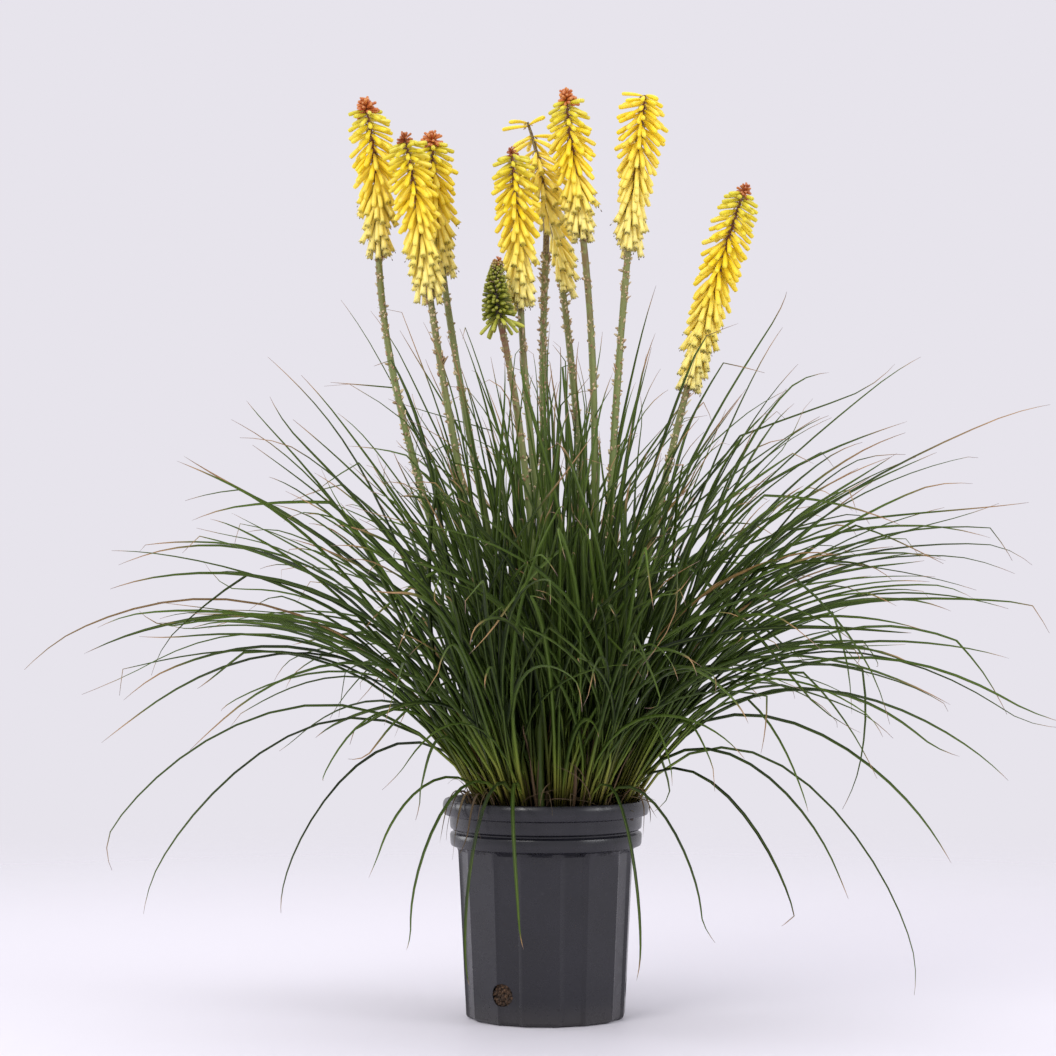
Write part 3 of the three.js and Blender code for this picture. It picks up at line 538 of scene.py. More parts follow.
def stays_clear(points):
    """A leaf hangs over the rim, off the floor and outside every spike."""
    out = np.hypot(points[:, 0], points[:, 1])
    height = points[:, 2]
    near = out < RIM_OUTSIDE * MM
    on_rim = near & (out > RIM_INSIDE * MM) & (height < RIM_CLEARED * MM)
    in_pot = near & (height < POT_CLEARED * MM)
    if (on_rim | in_pot | (height < FLOOR_CLEARED * MM)).any():
        return False
    return all(np.linalg.norm(points[:, None] - axis[None], axis=-1).min() > SPIKES_CLEARED * MM
               for axis in SPIKE_AXES)


def share_kept(tip):
    """How many of the leaves with such a tip grow: the clump is thinner at its sides."""
    if tip[0] <= -SIDE_REACH * MM:
        return LEFT_LEAVES_KEPT
    return RIGHT_LEAVES_KEPT if tip[0] >= SIDE_REACH * MM else 1


def extra_leaf(centre, random):
    """One more leaf of a tuft by the rule of the clump, or None where it is left out."""
    for _ in range(TRIES_PER_LEAF):
        turn = random.uniform(0, 2 * math.pi)
        root = centre + TUFT_RADIUS * MM * math.sqrt(random.uniform()) * level(turn)
        azimuth, out = place_in_clump(root)
        tilt = TILT["middle"] + TILT["outward"] * out ** 1.2 + TILT["spread"] * (random.uniform() - 0.5)
        tilt = np.clip(tilt, TILT["least"], TILT["most"])
        bow = BOW["upright"] + BOW["leaning"] * (tilt / 100) ** 1.2
        bow = max(bow + BOW["spread"] * (random.uniform() - 0.5), BOW["least"])
        leaning = np.interp(tilt, (50, 110), (LONGEST["leaning"], LONGEST["hanging"]))
        longest = np.interp(tilt, (0, 20), (LONGEST["upright"], leaning))
        chord = longest * random.uniform(SHORTEST, 1) * MM
        azimuth += (random.uniform() + random.uniform() - 1) * (SWING["middle"] + SWING["outward"] * out)
        tip = root + heading(azimuth, math.radians(tilt)) * CLUMP_SHAPE * chord
        controls = leaf_controls(root, tip, math.radians(bow))
        if random.uniform() > share_kept(tip):
            return None
        if tip[2] > TIP_OFF_FLOOR * MM and stays_clear(bezier(controls, np.linspace(0.05, 1, 24))):
            return controls
    return None


def lay_blades(pattern, lines, width, random, fold=(48, 34), thickness=0.7, twist=1.0):
    """Copies of the blade along lines of BLADE_ROWS + 1 points, rolled, slightly twisted and folded
    along the middle. width is in metres, one for each line, and fold in degrees, at root and tip."""
    count = len(lines)
    run = lines[:, -1] - lines[:, 0]
    azimuth = np.arctan2(run[:, 1], run[:, 0])
    across = np.column_stack([-np.sin(azimuth), np.cos(azimuth), np.zeros(count)])[:, None]
    side, up = frame_along(lines, across)
    roll = random.normal(0, BLADE_ROLL, (count, 1))
    roll = roll + random.normal(0, BLADE_TWIST, (count, 1)) * twist * BLADE_SHARES ** 1.5
    side, up = turned(side, up, roll)
    half = width[:, None] / 2 * BLADE_TAPER
    angle = np.radians(fold[0] + (fold[1] - fold[0]) * BLADE_SHARES ** 0.6)
    thick = thickness * MM * (1 - 0.6 * BLADE_SHARES)
    x, y, z = pattern.points.T
    row = np.rint(y * BLADE_ROWS).astype(int)
    sideways = x * half[:, row] * np.cos(angle[row])
    lift = np.abs(x) * half[:, row] * np.sin(angle[row]) + z * thick[row]
    return lines[:, row] - side[:, row] * sideways[..., None] + up[:, row] * lift[..., None]


def waver(lines, random, amount=1.0):
    """Small sideways waves along each leaf, and a hook at its tip."""
    count = len(lines)
    length = np.linalg.norm(np.diff(lines, axis=1), axis=-1).sum(axis=1)[:, None]
    for axis in range(3):
        phase = random.uniform(0, 2 * math.pi, (count, 1))
        waves = random.uniform(*WAVES, (count, 1))
        size = random.normal(0, WAVE_SIZE, (count, 1)) * length * amount
        wave = np.sin(BLADE_SHARES * waves + phase) - np.sin(phase)
        lines[:, :, axis] += size * BLADE_SHARES ** 1.5 * wave
    hook = unit(random.normal((0, 0, HOOK_DROP), 1, (count, 1, 3)))
    hook *= random.gamma(*HOOK_REACH, (count, 1, 1)) * MM * amount
    curl = np.clip((BLADE_SHARES - HOOK_FROM) / (1 - HOOK_FROM), 0, 1) ** 2
    lines += hook * curl[:, None]
    return lines


def kink(lines, random, chance):
    """Bends some leaves sharply down or sideways past their middle, most of them near the tip."""
    for line in lines:
        if random.uniform() < chance:
            row = int((KINKS_UP_TO - KINKS_OVER * random.uniform() ** 2.5) * len(line))
            ahead = unit(line[row] - line[row - 2])
            side = unit(np.cross(ahead, [0, 0, 1]) + random.normal(0, 0.25, 3))
            turn = Matrix.Rotation(-math.radians(random.uniform(*KINK_DEGREES)), 3, Vector(side))
            line[row:] = line[row] + (line[row:] - line[row]) @ np.array(turn).T
    return lines


def keep_inside(lines):
    """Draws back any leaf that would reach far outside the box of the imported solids."""
    low = np.array(cad_low) - BEYOND_CAD * MM
    high = np.array(cad_high) + BEYOND_CAD * MM
    root = lines[:, :1]
    run = lines - root
    room = np.where(run > 0, high - root, low - root)
    moved = np.abs(run) > MM
    share = np.where(moved, room / np.where(moved, run, 1), 1).min(axis=(1, 2))
    return root + run * np.minimum(share, 1)[:, None, None]


def leaf_tones(count, random):
    """How light each leaf is, how far its tip has dried, and how withered it is."""
    light = np.clip(random.normal(*LEAF_LIGHT, count), 0, 1)
    dry = np.clip(random.gamma(2, 0.03, count), *DRY_TIP)
    return np.column_stack([light, dry, (random.uniform(size=count) < WITHERED_LEAVES) * 0.8])


def grow_blades(pattern, controls, random, kinked):
    """The blades of one tuft along their curves."""
    lines = np.array([bezier(line, BLADE_SHARES) for line in controls])
    lines[:, 0] -= [0, 0, ROOT_DEPTH * MM]
    width = BLADE_WIDTH * MM * np.clip(random.normal(1, 0.16, len(lines)), 0.6, 1.4)
    lines = keep_inside(kink(waver(lines, random), random, kinked))
    return pattern, lay_blades(pattern, lines, width, random), leaf_tones(len(lines), random)


def make_tufts(pattern, finish):
    """Each packed tuft with finer blades, and more leaves between them."""
    tufts = sorted(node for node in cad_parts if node.startswith("leaf_tuft"))
    for number, node in enumerate(tufts, 1):
        random = np.random.default_rng(100 + number)
        controls = blade_lines(node)
        blades = grow_blades(pattern, controls, random, KINKED_LEAVES)
        stack(f"leaf_blades_{number:02d}", [blades], finish, [node])
        centre = np.mean([line[0] for line in controls], axis=0)
        more = [extra_leaf(centre, random) for _ in range(EXTRA_LEAVES_PER_TUFT)]
        more = [leaf for leaf in more if leaf is not None]
        blades = grow_blades(pattern, more, random, KINKED_EXTRA_LEAVES)
        stack(f"more_leaves_{number:02d}", [blades], finish)


# Flowers


def trait(kind, name):
    """What a flower's trait is, or the value for all the others."""
    return TRAITS[kind].get(name, TRAITS[kind]["other"])


def make_stalk(name, flower, pattern, finish):
    """The bare flower stem, from inside the soil to the spike's neck."""
    line = bezier(flower_curves(flower)[0], np.linspace(0, 1, STALK_ROWS + 1))
    line[0] -= [0, 0, STALK_DEPTH * MM]
    side, up = frame_along(line[None], np.array([1.0, 0, 0]))
    x, y, z = pattern.points.T
    row = np.clip(np.rint(z * STALK_ROWS), 0, STALK_ROWS).astype(int)
    share = row / STALK_ROWS
    radius = (STALK_RADIUS - STALK_NARROWS * share) * MM * (1 + 0.04 * np.sin(share * 40 + ord(name)))
    points = line[row] + side[0, row] * (x * radius)[:, None] + up[0, row] * (y * radius)[:, None]
    batch = pattern, points[None], np.array([[0.5, trait("flush", name), 0]])
    stack(f"flower_stalk_{name}", [batch], finish, [f"flower_stem_{name}"])


def spike_axes(controls, shares):
    """Points on a spike's axis, with the directions up it, to the right and away."""
    points = bezier(controls, shares)
    along = unit(bezier(controls, shares + 0.01) - bezier(controls, shares - 0.01))
    right = unit(np.array([1.0, 0, 0]) - along * along[:, :1])
    return points, along, right, np.cross(along, right)


def hang(pattern, start, along, over, length, radius, bend):
    """Copies of a floret: each starts at a point, runs along and bends away from over."""
    side = np.cross(over, along)
    x, y, s = pattern.points.T
    angle = bend[:, None] * s
    arc = (length / bend)[:, None]
    forward = arc * np.sin(angle)
    sink = arc * (1 - np.cos(angle))
    lifted = turned(over[:, None], along[:, None], angle)[0]
    wide = radius[:, None]
    return (start[:, None] + along[:, None] * forward[..., None] - over[:, None] * sink[..., None]
            + side[:, None] * (x * wide)[..., None] + lifted * (y * wide)[..., None])


def floret_kept(name, share, azimuth):
    """Which florets a fading spike still has: f is bare at its foot and under its topmost ones, j at
    the left, and g has a gap."""
    right = np.cos(azimuth) > -0.25
    if name == "f":
        topmost = (share > 0.96) | ((share > 0.84) & (share < 0.9))
        return topmost | ((share > 0.3) & (share < 0.78) & (right | (share > 0.52)))
    if name == "j":
        return right | (share > 0.8)
    if name == "g":
        return (share < 0.4) | (share > 0.46)
    return np.ones(len(share), bool)


def young_buds(share, random):
    """The rise, length and radius of the buds of the young spike, none of them open."""
    lowest, gain, spread = BUD_RISE
    loose = share < LOOSE_BUDS["share"]
    rise = np.where(loose, LOOSE_BUDS["rise"], lowest + gain * share)
    rise = rise + random.normal(0, spread, len(share))
    length = np.where(loose, LOOSE_BUDS["length"], 17 - 12 * share) * MM
    radius = np.where(loose, LOOSE_BUDS["radius"], 2 - 0.8 * share) * MM
    return np.radians(rise), length, radius, np.zeros(len(share), bool)


def yellow_florets(name, flower, share, random):
    """The rise, length and radius of the florets of a yellow spike, and which are open."""
    count = len(share)
    lowest, gain, spread = FLORET_RISE
    rise = np.radians(lowest + gain * share ** 1.35 + random.normal(0, spread, count))
    if name == "f":
        rise = np.where(share > 0.9, np.radians(TOPMOST_RISE), rise)
    length = FLORET_LENGTH * MM * (1 - trait("shortened", name) * share ** 4)
    length = length * random.normal(1, 0.06, count)
    radius = FLORET_RADIUS * MM * (1 - 0.2 * share ** 2) * random.normal(1, 0.05, count)
    opened = share < flower["opened"] + random.normal(0, 0.04, count)
    radius[opened] *= 1.08
    return rise, length, radius, opened


def make_spike(name, flower, patterns, finish):
    """A spike: its stalk inside, and florets in a spiral from the hanging lowest ones to the level
    ones at the top. Returns where anthers and bracts go: a point, the way along and the way over."""
    random = np.random.default_rng(ord(name))
    spike = flower_curves(flower)[1]
    count = flower["florets"]
    share = (np.arange(count) + 0.5) / count
    azimuth = np.arange(count) * GOLDEN_ANGLE + random.normal(0, 0.12, count)
    kept = floret_kept(name, share, azimuth)
    share, azimuth = share[kept], azimuth[kept]
    count = len(share)
    points, along, right, away = spike_axes(spike, share)
    upright = unit(along * 0.65 + np.array([0, 0, 0.35]))
    out = turned(right, away, azimuth)[0]
    out = unit(out - upright * np.sum(out * upright, axis=1, keepdims=True))
    if name == YOUNG:
        rise, length, radius, opened = young_buds(share, random)
    else:
        rise, length, radius, opened = yellow_florets(name, flower, share, random)
    direction, over = turned(out, upright, rise)
    core = (RACHIS_RADIUS * (1 - 0.5 * share) * MM)[:, None]
    start = points + out * core * 0.8
    bend = np.clip(0.28 * np.cos(rise) + random.normal(0, 0.06, count), 0.03, 0.6)
    light = np.clip(random.normal(0.5, 0.2, count), 0, 1)
    tone = np.column_stack([light, share * trait("youth", name), np.zeros(count)])
    batches = []
    for pattern, chosen in ((patterns["open"], opened), (patterns["bud"], ~opened)):
        if chosen.any():
            placed = hang(pattern, start[chosen], direction[chosen], over[chosen], length[chosen],
                          radius[chosen], bend[chosen])
            batches.append((pattern, placed, tone[chosen]))
    batches.append(rachis(spike, patterns["stalk"], trait("scarred", name)))
    stack(f"floret_spike_{name}", batches, finish, [f"flower_spike_{name}"])
    mouths = start + direction * length[:, None] * 0.9 - over * (length * bend / 2)[:, None]
    return {
        "mouths": [column[opened] for column in (mouths, direction, over)],
        "feet": [column[share > BRACTS_FROM] for column in (start, direction, over)],
    }


def rachis(spike, pattern, scarred):
    """The stalk inside a spike, with a low knot at the foot of each floret. It is maroon, or grey
    and scarred where the florets have fallen."""
    x, y, z = pattern.points.T
    share = np.clip(z, 0, 1)
    points, _, right, away = spike_axes(spike, share)
    knots = 1 + KNOT_DEPTH * np.sin(share * KNOTS_UP) * np.sin(np.arctan2(y, x) * KNOTS_ROUND)
    radius = RACHIS_RADIUS * MM * (1 - 0.6 * share) * knots
    placed = points + right * (x * radius)[:, None] + away * (y * radius)[:, None]
    return pattern, placed[None], np.array([[0.5, scarred, 1.0]])


def make_tip(name, flower, pattern, finish):
    """The tuft of buds that have not opened yet, splayed on top of the spike."""
    random = np.random.default_rng(ord(name) + 50)
    count = trait("tip_buds", name)
    size = trait("tip_size", name) * MM
    share = (np.arange(count) + 0.5) / count
    points, along, right, away = spike_axes(flower_curves(flower)[1], np.ones(count))
    azimuth = np.arange(count) * GOLDEN_ANGLE + random.normal(0, 0.2, count)
    lowest, gain, spread = TIP_BUD_RISE
    rise = np.radians(lowest + gain * share ** 1.2 + random.normal(0, spread, count))
    direction, over = turned(turned(right, away, azimuth)[0], along, rise)
    start = points + along * (size * (share * 9 - 1.5))[:, None]
    length = size * (13.5 - 7 * share) * random.normal(1, 0.14, count)
    radius = size * (1.8 - 0.5 * share)
    placed = hang(pattern, start, direction, over, length, radius, np.full(count, 0.15))
    light = np.clip(random.normal(0.5, 0.25, count), 0, 1)
    tone = np.column_stack([light, share, np.full(count, trait("tip_ripe", name))])
    stack(f"tip_buds_{name}", [(pattern, placed, tone)], finish, [f"bud_tip_{name}"])


def two_tones(random, count):
    """Two numbers by chance for each copy."""
    return np.column_stack([random.uniform(size=(count, 2)), np.zeros(count)])


def make_anthers(mouths, pattern, finish):
    """Thin filaments with dark anthers, a few in the mouth of each open floret."""
    random = np.random.default_rng(7)
    columns = (np.repeat(np.concatenate(column), ANTHERS_PER_FLORET, axis=0) for column in zip(*mouths))
    start, along, over = columns
    kept = random.uniform(size=len(start)) < ANTHERS_LEFT
    start, along, over = start[kept], along[kept], over[kept]
    count = len(start)
    shift = turned(over, np.cross(along, over), random.uniform(0, 2 * math.pi, count))[0]
    length = (3.4 + random.gamma(1.5, 1.1, count)) * MM
    placed = hang(pattern, start + shift * 1.5 * MM, unit(along + shift * 0.25), over, length,
                  np.full(count, ANTHER_RADIUS * MM), np.full(count, 0.2))
    tone = np.column_stack([random.uniform(size=count), np.zeros(count), np.zeros(count)])
    stack("anthers", [(pattern, placed, tone)], finish)


def make_bracts(feet, pattern, finish):
    """A small papery bract under the foot of each upper floret."""
    random = np.random.default_rng(9)
    start, along, over = (np.concatenate(column) for column in zip(*feet))
    count = len(start)
    start = start - over * 1.2 * MM + along * 1.5 * MM
    length = random.uniform(3, 5, count) * MM
    placed = hang(pattern, start, unit(along - over * 0.5), over, length,
                  np.full(count, BRACT_RADIUS * MM), np.full(count, 0.5))
    stack("floret_bracts", [(pattern, placed, two_tones(random, count))], finish)


def make_scales(pattern, finish):
    """Dry stubs and bracts where florets have fallen, on the upper part of every stem."""
    random = np.random.default_rng(21)
    for name, flower in FLOWERS.items():
        amount, reach = trait("scales", name)
        share = 1 - reach * random.uniform(size=amount) ** 1.4
        points, along, right, away = spike_axes(flower_curves(flower)[0], share)
        out = turned(right, away, random.uniform(0, 2 * math.pi, amount))[0]
        direction, over = turned(out, along, np.radians(random.normal(*SCALE_RISE, amount)))
        length = random.gamma(4, 0.85, amount) * MM
        radius = random.uniform(0.7, 1.5, amount) * MM
        placed = hang(pattern, points + out * 3.1 * MM, direction, over, length, radius,
                      np.full(amount, 0.4))
        batch = pattern, placed, two_tones(random, amount)
        stack(f"stalk_scales_{name}", [batch], finish)


# Pot and soil


def panel_reach(azimuth):
    """How far the panelled wall stands at an azimuth in degrees, as a share of the radius, and how
    far it is set back: wide flat panels stand proud of narrow ones."""
    pair = 360 / PANEL_PAIRS
    half = WIDE_PANEL_DEGREES / 2
    across = abs((azimuth - PANEL_TURN + pair / 2) % pair - pair / 2)
    if across < half:
        return math.cos(math.radians(half)) / math.cos(math.radians(across)), 0
    narrow = pair / 2 - half
    middle = abs(pair / 2 - across)
    flat = math.cos(math.radians(narrow)) / math.cos(math.radians(middle))
    set_back = min((across - half) / STEP_DEGREES, 1)
    return 1 + (flat * NARROW_PANEL_FLATNESS - 1) * set_back, PANEL_STEP * set_back


def make_pot(finish):
    """The pot, drawn by extruding its base along the outline, then panelled and drilled."""
    piece = draw_ring(POT_FACETS, POT_OUTLINE[0][0] * MM, 0, fill="NGON")
    piece.name = "pot_body"
    follow_outline([(radius * MM, height * MM) for radius, height in POT_OUTLINE])
    leave_edit()
    for point in piece.data.vertices:
        panelled = min(max((PANELS_END + PANELS_FADE - point.co.z / MM) / PANELS_FADE, 0), 1)
        share, set_back = panel_reach(math.degrees(math.atan2(point.co.y, point.co.x)))
        radius = math.hypot(point.co.x, point.co.y)
        scale = 1 + (share - set_back * MM / radius - 1) * panelled
        point.co.x *= scale
        point.co.y *= scale
    for azimuth in DRAIN_HOLE_AZIMUTHS:
        drill_hole(piece, math.radians(azimuth))
    smooth(piece, POT_SMOOTH_DEGREES)
    return hand_over(piece, finish, ["pot"])


def drill_hole(piece, azimuth):
    """Cuts a drain hole through the wall of the pot."""
    deselect()
    place = Vector(level(azimuth)) * WALL_AT_HOLES * MM
    bpy.ops.mesh.primitive_cylinder_add(
        vertices=48, radius=DRAIN_HOLE_RADIUS * MM, depth=DRAIN_HOLE_DEPTH * MM,
        rotation=(0, math.pi / 2, azimuth), location=(place.x, place.y, DRAIN_HOLE_HEIGHT * MM))
    drill = bpy.context.object
    bpy.context.view_layer.objects.active = piece
    apply_modifier(piece, "BOOLEAN", object=drill, operation="DIFFERENCE", solver="EXACT")
    bpy.data.objects.remove(drill)


def make_soil(finish):
    """Potting mix to a little under the rim, with a lumpy top."""
    rings = [(SOIL_RADIUS - SOIL_RING_STEP * step, SOIL_TOP) for step in range(SOIL_RINGS)]
    outline = [(radius * MM, height * MM) for radius, height in (*SOIL_OUTLINE, *rings)]
    piece = draw_ring(SOIL_FACETS, *outline[0], fill="NGON")
    piece.name = "soil_fill"
    follow_outline(outline)
    leave_edit()
    for point in piece.data.vertices:
        out = math.hypot(point.co.x, point.co.y)
        if point.co.z > LUMPS_ABOVE * MM:
            lump = noise.fractal(point.co / (LUMP_SIZE * MM), 0.7, 2.1, 4)
            mound = SOIL_MOUND * (1 - out / (SOIL_RADIUS * MM))
            point.co.z += (LUMP_HEIGHT * lump - SOIL_SETTLED + mound) * MM
    smooth(piece, SOIL_SMOOTH_DEGREES)
    return hand_over(piece, finish, ["soil"])


def chip_pattern():
    """A lump of bark: a low sphere pulled out of shape."""
    deselect()
    bpy.ops.mesh.primitive_ico_sphere_add(subdivisions=1, radius=1)
    piece = bpy.context.object
    for point in piece.data.vertices:
        point.co *= 1 + 0.35 * noise.noise(point.co * 2.3)
    return Pattern(piece, round_uv)


def make_chips(finish):
    """Bark, twigs and grit that lie on the soil, and crumbs in the drain holes."""
    random = np.random.default_rng(5)
    pattern = chip_pattern()
    radius = CHIPS_REACH * MM * np.sqrt(random.uniform(size=CHIPS))
    azimuth = random.uniform(0, 2 * math.pi, CHIPS)
    turn = random.uniform(0, math.pi, (CHIPS, 1))
    size = random.gamma(2.2, 0.9, (CHIPS, 1)) * MM + 0.6 * MM
    x, y, z = pattern.points.T
    tip = random.normal(0, 0.35, (CHIPS, 1))
    long = size * random.uniform(1, 2.2, (CHIPS, 1))
    a, b, c = x * long, y * size * 0.8, z * size * 0.5
    a, c = a * np.cos(tip) - c * np.sin(tip), a * np.sin(tip) + c * np.cos(tip)
    lift = CHIPS_AT * MM + SOIL_MOUND * MM * (1 - radius / (SOIL_RADIUS * MM))
    placed = np.stack([
        (radius * np.cos(azimuth))[:, None] + a * np.cos(turn) - b * np.sin(turn),
        (radius * np.sin(azimuth))[:, None] + a * np.sin(turn) + b * np.cos(turn),
        lift[:, None] + c + size * 0.2], axis=-1)
    chips = pattern, placed, two_tones(random, CHIPS)
    stack("bark_chips", [chips, fill_holes(pattern, random)], finish)


def fill_holes(pattern, random):
    """Crumbs of the mix that fill the drain holes flush with the wall."""
    around = np.repeat(np.radians(DRAIN_HOLE_AZIMUTHS), CRUMBS_PER_HOLE)
    count = len(around)
    out = DRAIN_HOLE_RADIUS * np.sqrt(random.uniform(size=count))
    turn = random.uniform(0, 2 * math.pi, count)
    size = random.uniform(0.9, 2.2, (count, 1)) * MM
    depth = HOLE_CRUMBS_AT + random.uniform(-1.5, 0.3, count)
    inward = np.column_stack([np.cos(around), np.sin(around), np.zeros(count)])
    across = np.column_stack([-np.sin(around), np.cos(around), np.zeros(count)])
    middle = (inward * depth[:, None] + across * (out * np.cos(turn))[:, None]) * MM
    middle[:, 2] = (DRAIN_HOLE_HEIGHT + out * np.sin(turn)) * MM
    return pattern, middle[:, None] + pattern.points * size[..., None], two_tones(random, count)


# Finishes


def tint(code):
    """A colour written as six hex digits, as the linear values that shaders take."""
    values = [int(code[i:i + 2], 16) / 255 for i in (0, 2, 4)]
    return [v / 12.92 if v <= 0.04045 else ((v + 0.055) / 1.055) ** 2.4 for v in values] + [1]


class Finish:
    """A material being made: one Principled shader, and the nodes that feed it."""

    def __init__(self, name, roughness=0.5, **shader):
        self.material = bpy.data.materials.new(name)
        self.material.use_nodes = True
        self.tree = self.material.node_tree
        self.shader = self.tree.nodes["Principled BSDF"]
        self.shader.inputs["Roughness"].default_value = roughness
        for key, value in shader.items():
            self.shader.inputs[key.replace("_", " ")].default_value = value

    def feed(self, socket, value):
        """Links a socket to a node's output, or sets it to a number or a colour."""
        if isinstance(value, bpy.types.NodeSocket):
            self.tree.links.new(value, socket)
        else:
            socket.default_value = tint(value) if isinstance(value, str) else value

    def node(self, kind, inputs=(), **settings):
        """Adds a node with these settings and what feeds its inputs."""
        made = self.tree.nodes.new(kind)
        for key, value in settings.items():
            setattr(made, key, value)
        for key, value in dict(inputs).items():
            self.feed(made.inputs[key], value)
        return made

    def calculate(self, operation, *values):
        """The result of a sum on numbers or outputs."""
        made = self.node("ShaderNodeMath", operation=operation)
        for socket, value in zip(made.inputs, values):
            self.feed(socket, value)
        return made.outputs[0]

    def between(self, value, low, high, to_low=0.0, to_high=1.0):
        """Takes a value from one range to another, with soft ends."""
        made = self.node("ShaderNodeMapRange", interpolation_type="SMOOTHSTEP")
        for socket, number in zip(made.inputs, (value, low, high, to_low, to_high)):
            self.feed(socket, number)
        return made.outputs[0]

    def mix(self, factor, first, second):
        """Goes from the first colour to the second as the factor goes from 0 to 1."""
        made = self.node("ShaderNodeMix", data_type="RGBA")
        self.feed(made.inputs["Factor"], factor)
        self.feed(made.inputs[6], first)
        self.feed(made.inputs[7], second)
        return made.outputs[2]

    def stain(self, shade, colour, value, low, high, most=1.0):
        """Lays a colour over a shade, more of it as a value goes from low to high."""
        return self.mix(self.between(value, low, high, 0.0, most), shade, colour)

    def ramp(self, factor, stops):
        """Colours at places from 0 to 1."""
        made = self.node("ShaderNodeValToRGB", {"Fac": factor})
        elements = made.color_ramp.elements
        while len(elements) < len(stops):
            elements.new(1)
        for element, (place, colour) in zip(elements, stops):
            element.position = place
            element.color = tint(colour)
        return made.outputs["Color"]

    def noise(self, vector, scale, detail=3.0, rough=0.55):
        """Soft noise from 0 to 1."""
        made = self.node("ShaderNodeTexNoise", {"Vector": vector, "Scale": scale, "Detail": detail,
                                                "Roughness": rough})
        return made.outputs["Fac"]

    def stretched(self, vector, scale):
        """A vector with each part multiplied by a scale of its own."""
        return self.node("ShaderNodeMapping", {"Vector": vector, "Scale": scale}).outputs["Vector"]

    def place(self):
        """Where a point is on the part, in metres."""
        return self.node("ShaderNodeTexCoord").outputs["Object"]

    def along(self):
        """UV of a copied piece: across or round it, and along it."""
        return self.node("ShaderNodeUVMap", uv_map="along").outputs["UV"]

    def split(self, vector):
        """The three parts of a vector."""
        return self.node("ShaderNodeSeparateXYZ", {"Vector": vector}).outputs

    def tone(self):
        """The three numbers that each copy carries."""
        made = self.node("ShaderNodeAttribute", attribute_name="tone")
        return self.split(made.outputs["Color"])

    def bump(self, height, depth, strength):
        """Gives the surface a fine relief, with its depth in metres."""
        made = self.node("ShaderNodeBump", {"Height": height, "Distance": depth, "Strength": strength})
        self.feed(self.shader.inputs["Normal"], made.outputs["Normal"])

    def done(self, colour, roughness=None):
        """Feeds the shader, and hands over the material."""
        self.feed(self.shader.inputs["Base Color"], colour)
        if roughness is not None:
            self.feed(self.shader.inputs["Roughness"], roughness)
        return self.material


def leaf_finish():
    """Green blades with fine lengthwise veins, pale at the base, with dry tan tips."""
    f = Finish("leaf_green", Specular_IOR_Level=0.26)
    uv = f.along()
    across, share, _ = f.split(uv)
    light, dry, withered = f.tone()
    veins = f.noise(f.stretched(uv, (26, 0.7, 1)), 1.0, 1.0)
    mottle = f.noise(f.place(), 38.0, 2.0)
    shade = f.mix(light, "132205", "4c651a")
    shade = f.stain(shade, "64782a", mottle, 0.4, 0.8, 0.3)
    shade = f.stain(shade, "20320a", veins, 0.3, 0.7, 0.5)
    # Painted light: leaves turn lighter yellow-green towards their outer ends, where they stand out of
    # the clump in the light.
    shade = f.stain(shade, "6c862a", share, 0.5, 0.95, 0.3)
    off_middle = f.calculate("ABSOLUTE", f.calculate("SUBTRACT", across, 0.5))
    shade = f.stain(shade, "7d9240", off_middle, 0.16, 0.02, 0.3)
    # Painted shade: the shanks go dark brown at the very root, deep in the clump, then pale olive and
    # green higher up.
    shank = f.ramp(share, [(0, "2c2214"), (0.02, "5a4e26"), (0.05, "8c8a38"), (0.12, "788c2a"),
                           (0.24, "52701e")])
    shank = f.stain(shank, "a5a276", veins, 0.56, 0.66, 0.55)
    # Painted shade: the shanks of the darker leaves are darkened towards brown, for the dark gaps between
    # the shanks.
    shank = f.stain(shank, "221f0e", light, 0.5, 0.1, 0.6)
    shade = f.mix(f.between(share, 0.24, 0.05), shade, shank)
    start = f.calculate("SUBTRACT", 1.0, f.calculate("MULTIPLY", dry, 1.5))
    end = f.calculate("SUBTRACT", 1.0, f.calculate("MULTIPLY", dry, 0.5))
    tan = f.mix(mottle, "c09660", "8c7058")
    shade = f.mix(f.between(share, start, end), shade, tan)
    shade = f.stain(shade, "857c88", share, 0.965, 1.0, 0.6)
    shade = f.mix(withered, shade, f.mix(veins, "b08b58", "7a5a38"))
    f.bump(veins, 0.0004, 0.5)
    return f.done(shade, f.between(mottle, 0.3, 0.7, 0.42, 0.6))


def dry_finish():
    """Withered sheaths and leaves: straw to reddish brown, papery."""
    f = Finish("dry_leaf", 0.75)
    uv = f.along()
    light, red, _ = f.tone()
    streaks = f.noise(f.stretched(uv, (14, 1.5, 1)), 1.0, 3.0)
    shade = f.mix(light, "3e2c1c", "8c7a56")
    shade = f.mix(f.calculate("MULTIPLY", red, 0.35), shade, "5e3020")
    shade = f.stain(shade, "5c4c2c", streaks, 0.35, 0.7)
    f.bump(streaks, 0.0006, 0.6)
    return f.done(shade)


def stalk_finish():
    """Smooth yellow-green stems, flushed with maroon towards the flowers."""
    f = Finish("stalk_green", Specular_IOR_Level=0.4)
    uv = f.along()
    share = f.split(uv)[1]
    flush = f.tone()[1]
    streaks = f.noise(f.stretched(uv, (9, 5, 1)), 1.0, 4.0)
    shade = f.ramp(share, [(0, "4e6224"), (0.45, "637434"), (0.8, "7f8850"), (1, "8c8a54")])
    shade = f.stain(shade, "4f5f28", streaks, 0.35, 0.7, 0.5)
    blotches = f.noise(f.place(), 160.0, 3.0)
    high = f.between(share, 0.62, 1.0)
    amount = f.calculate("MULTIPLY", f.calculate("MULTIPLY", high, flush), f.between(blotches, 0.3, 0.65))
    shade = f.mix(amount, shade, "6e3d30")
    f.bump(streaks, 0.0003, 0.4)
    return f.done(shade, f.between(blotches, 0.3, 0.7, 0.42, 0.58))


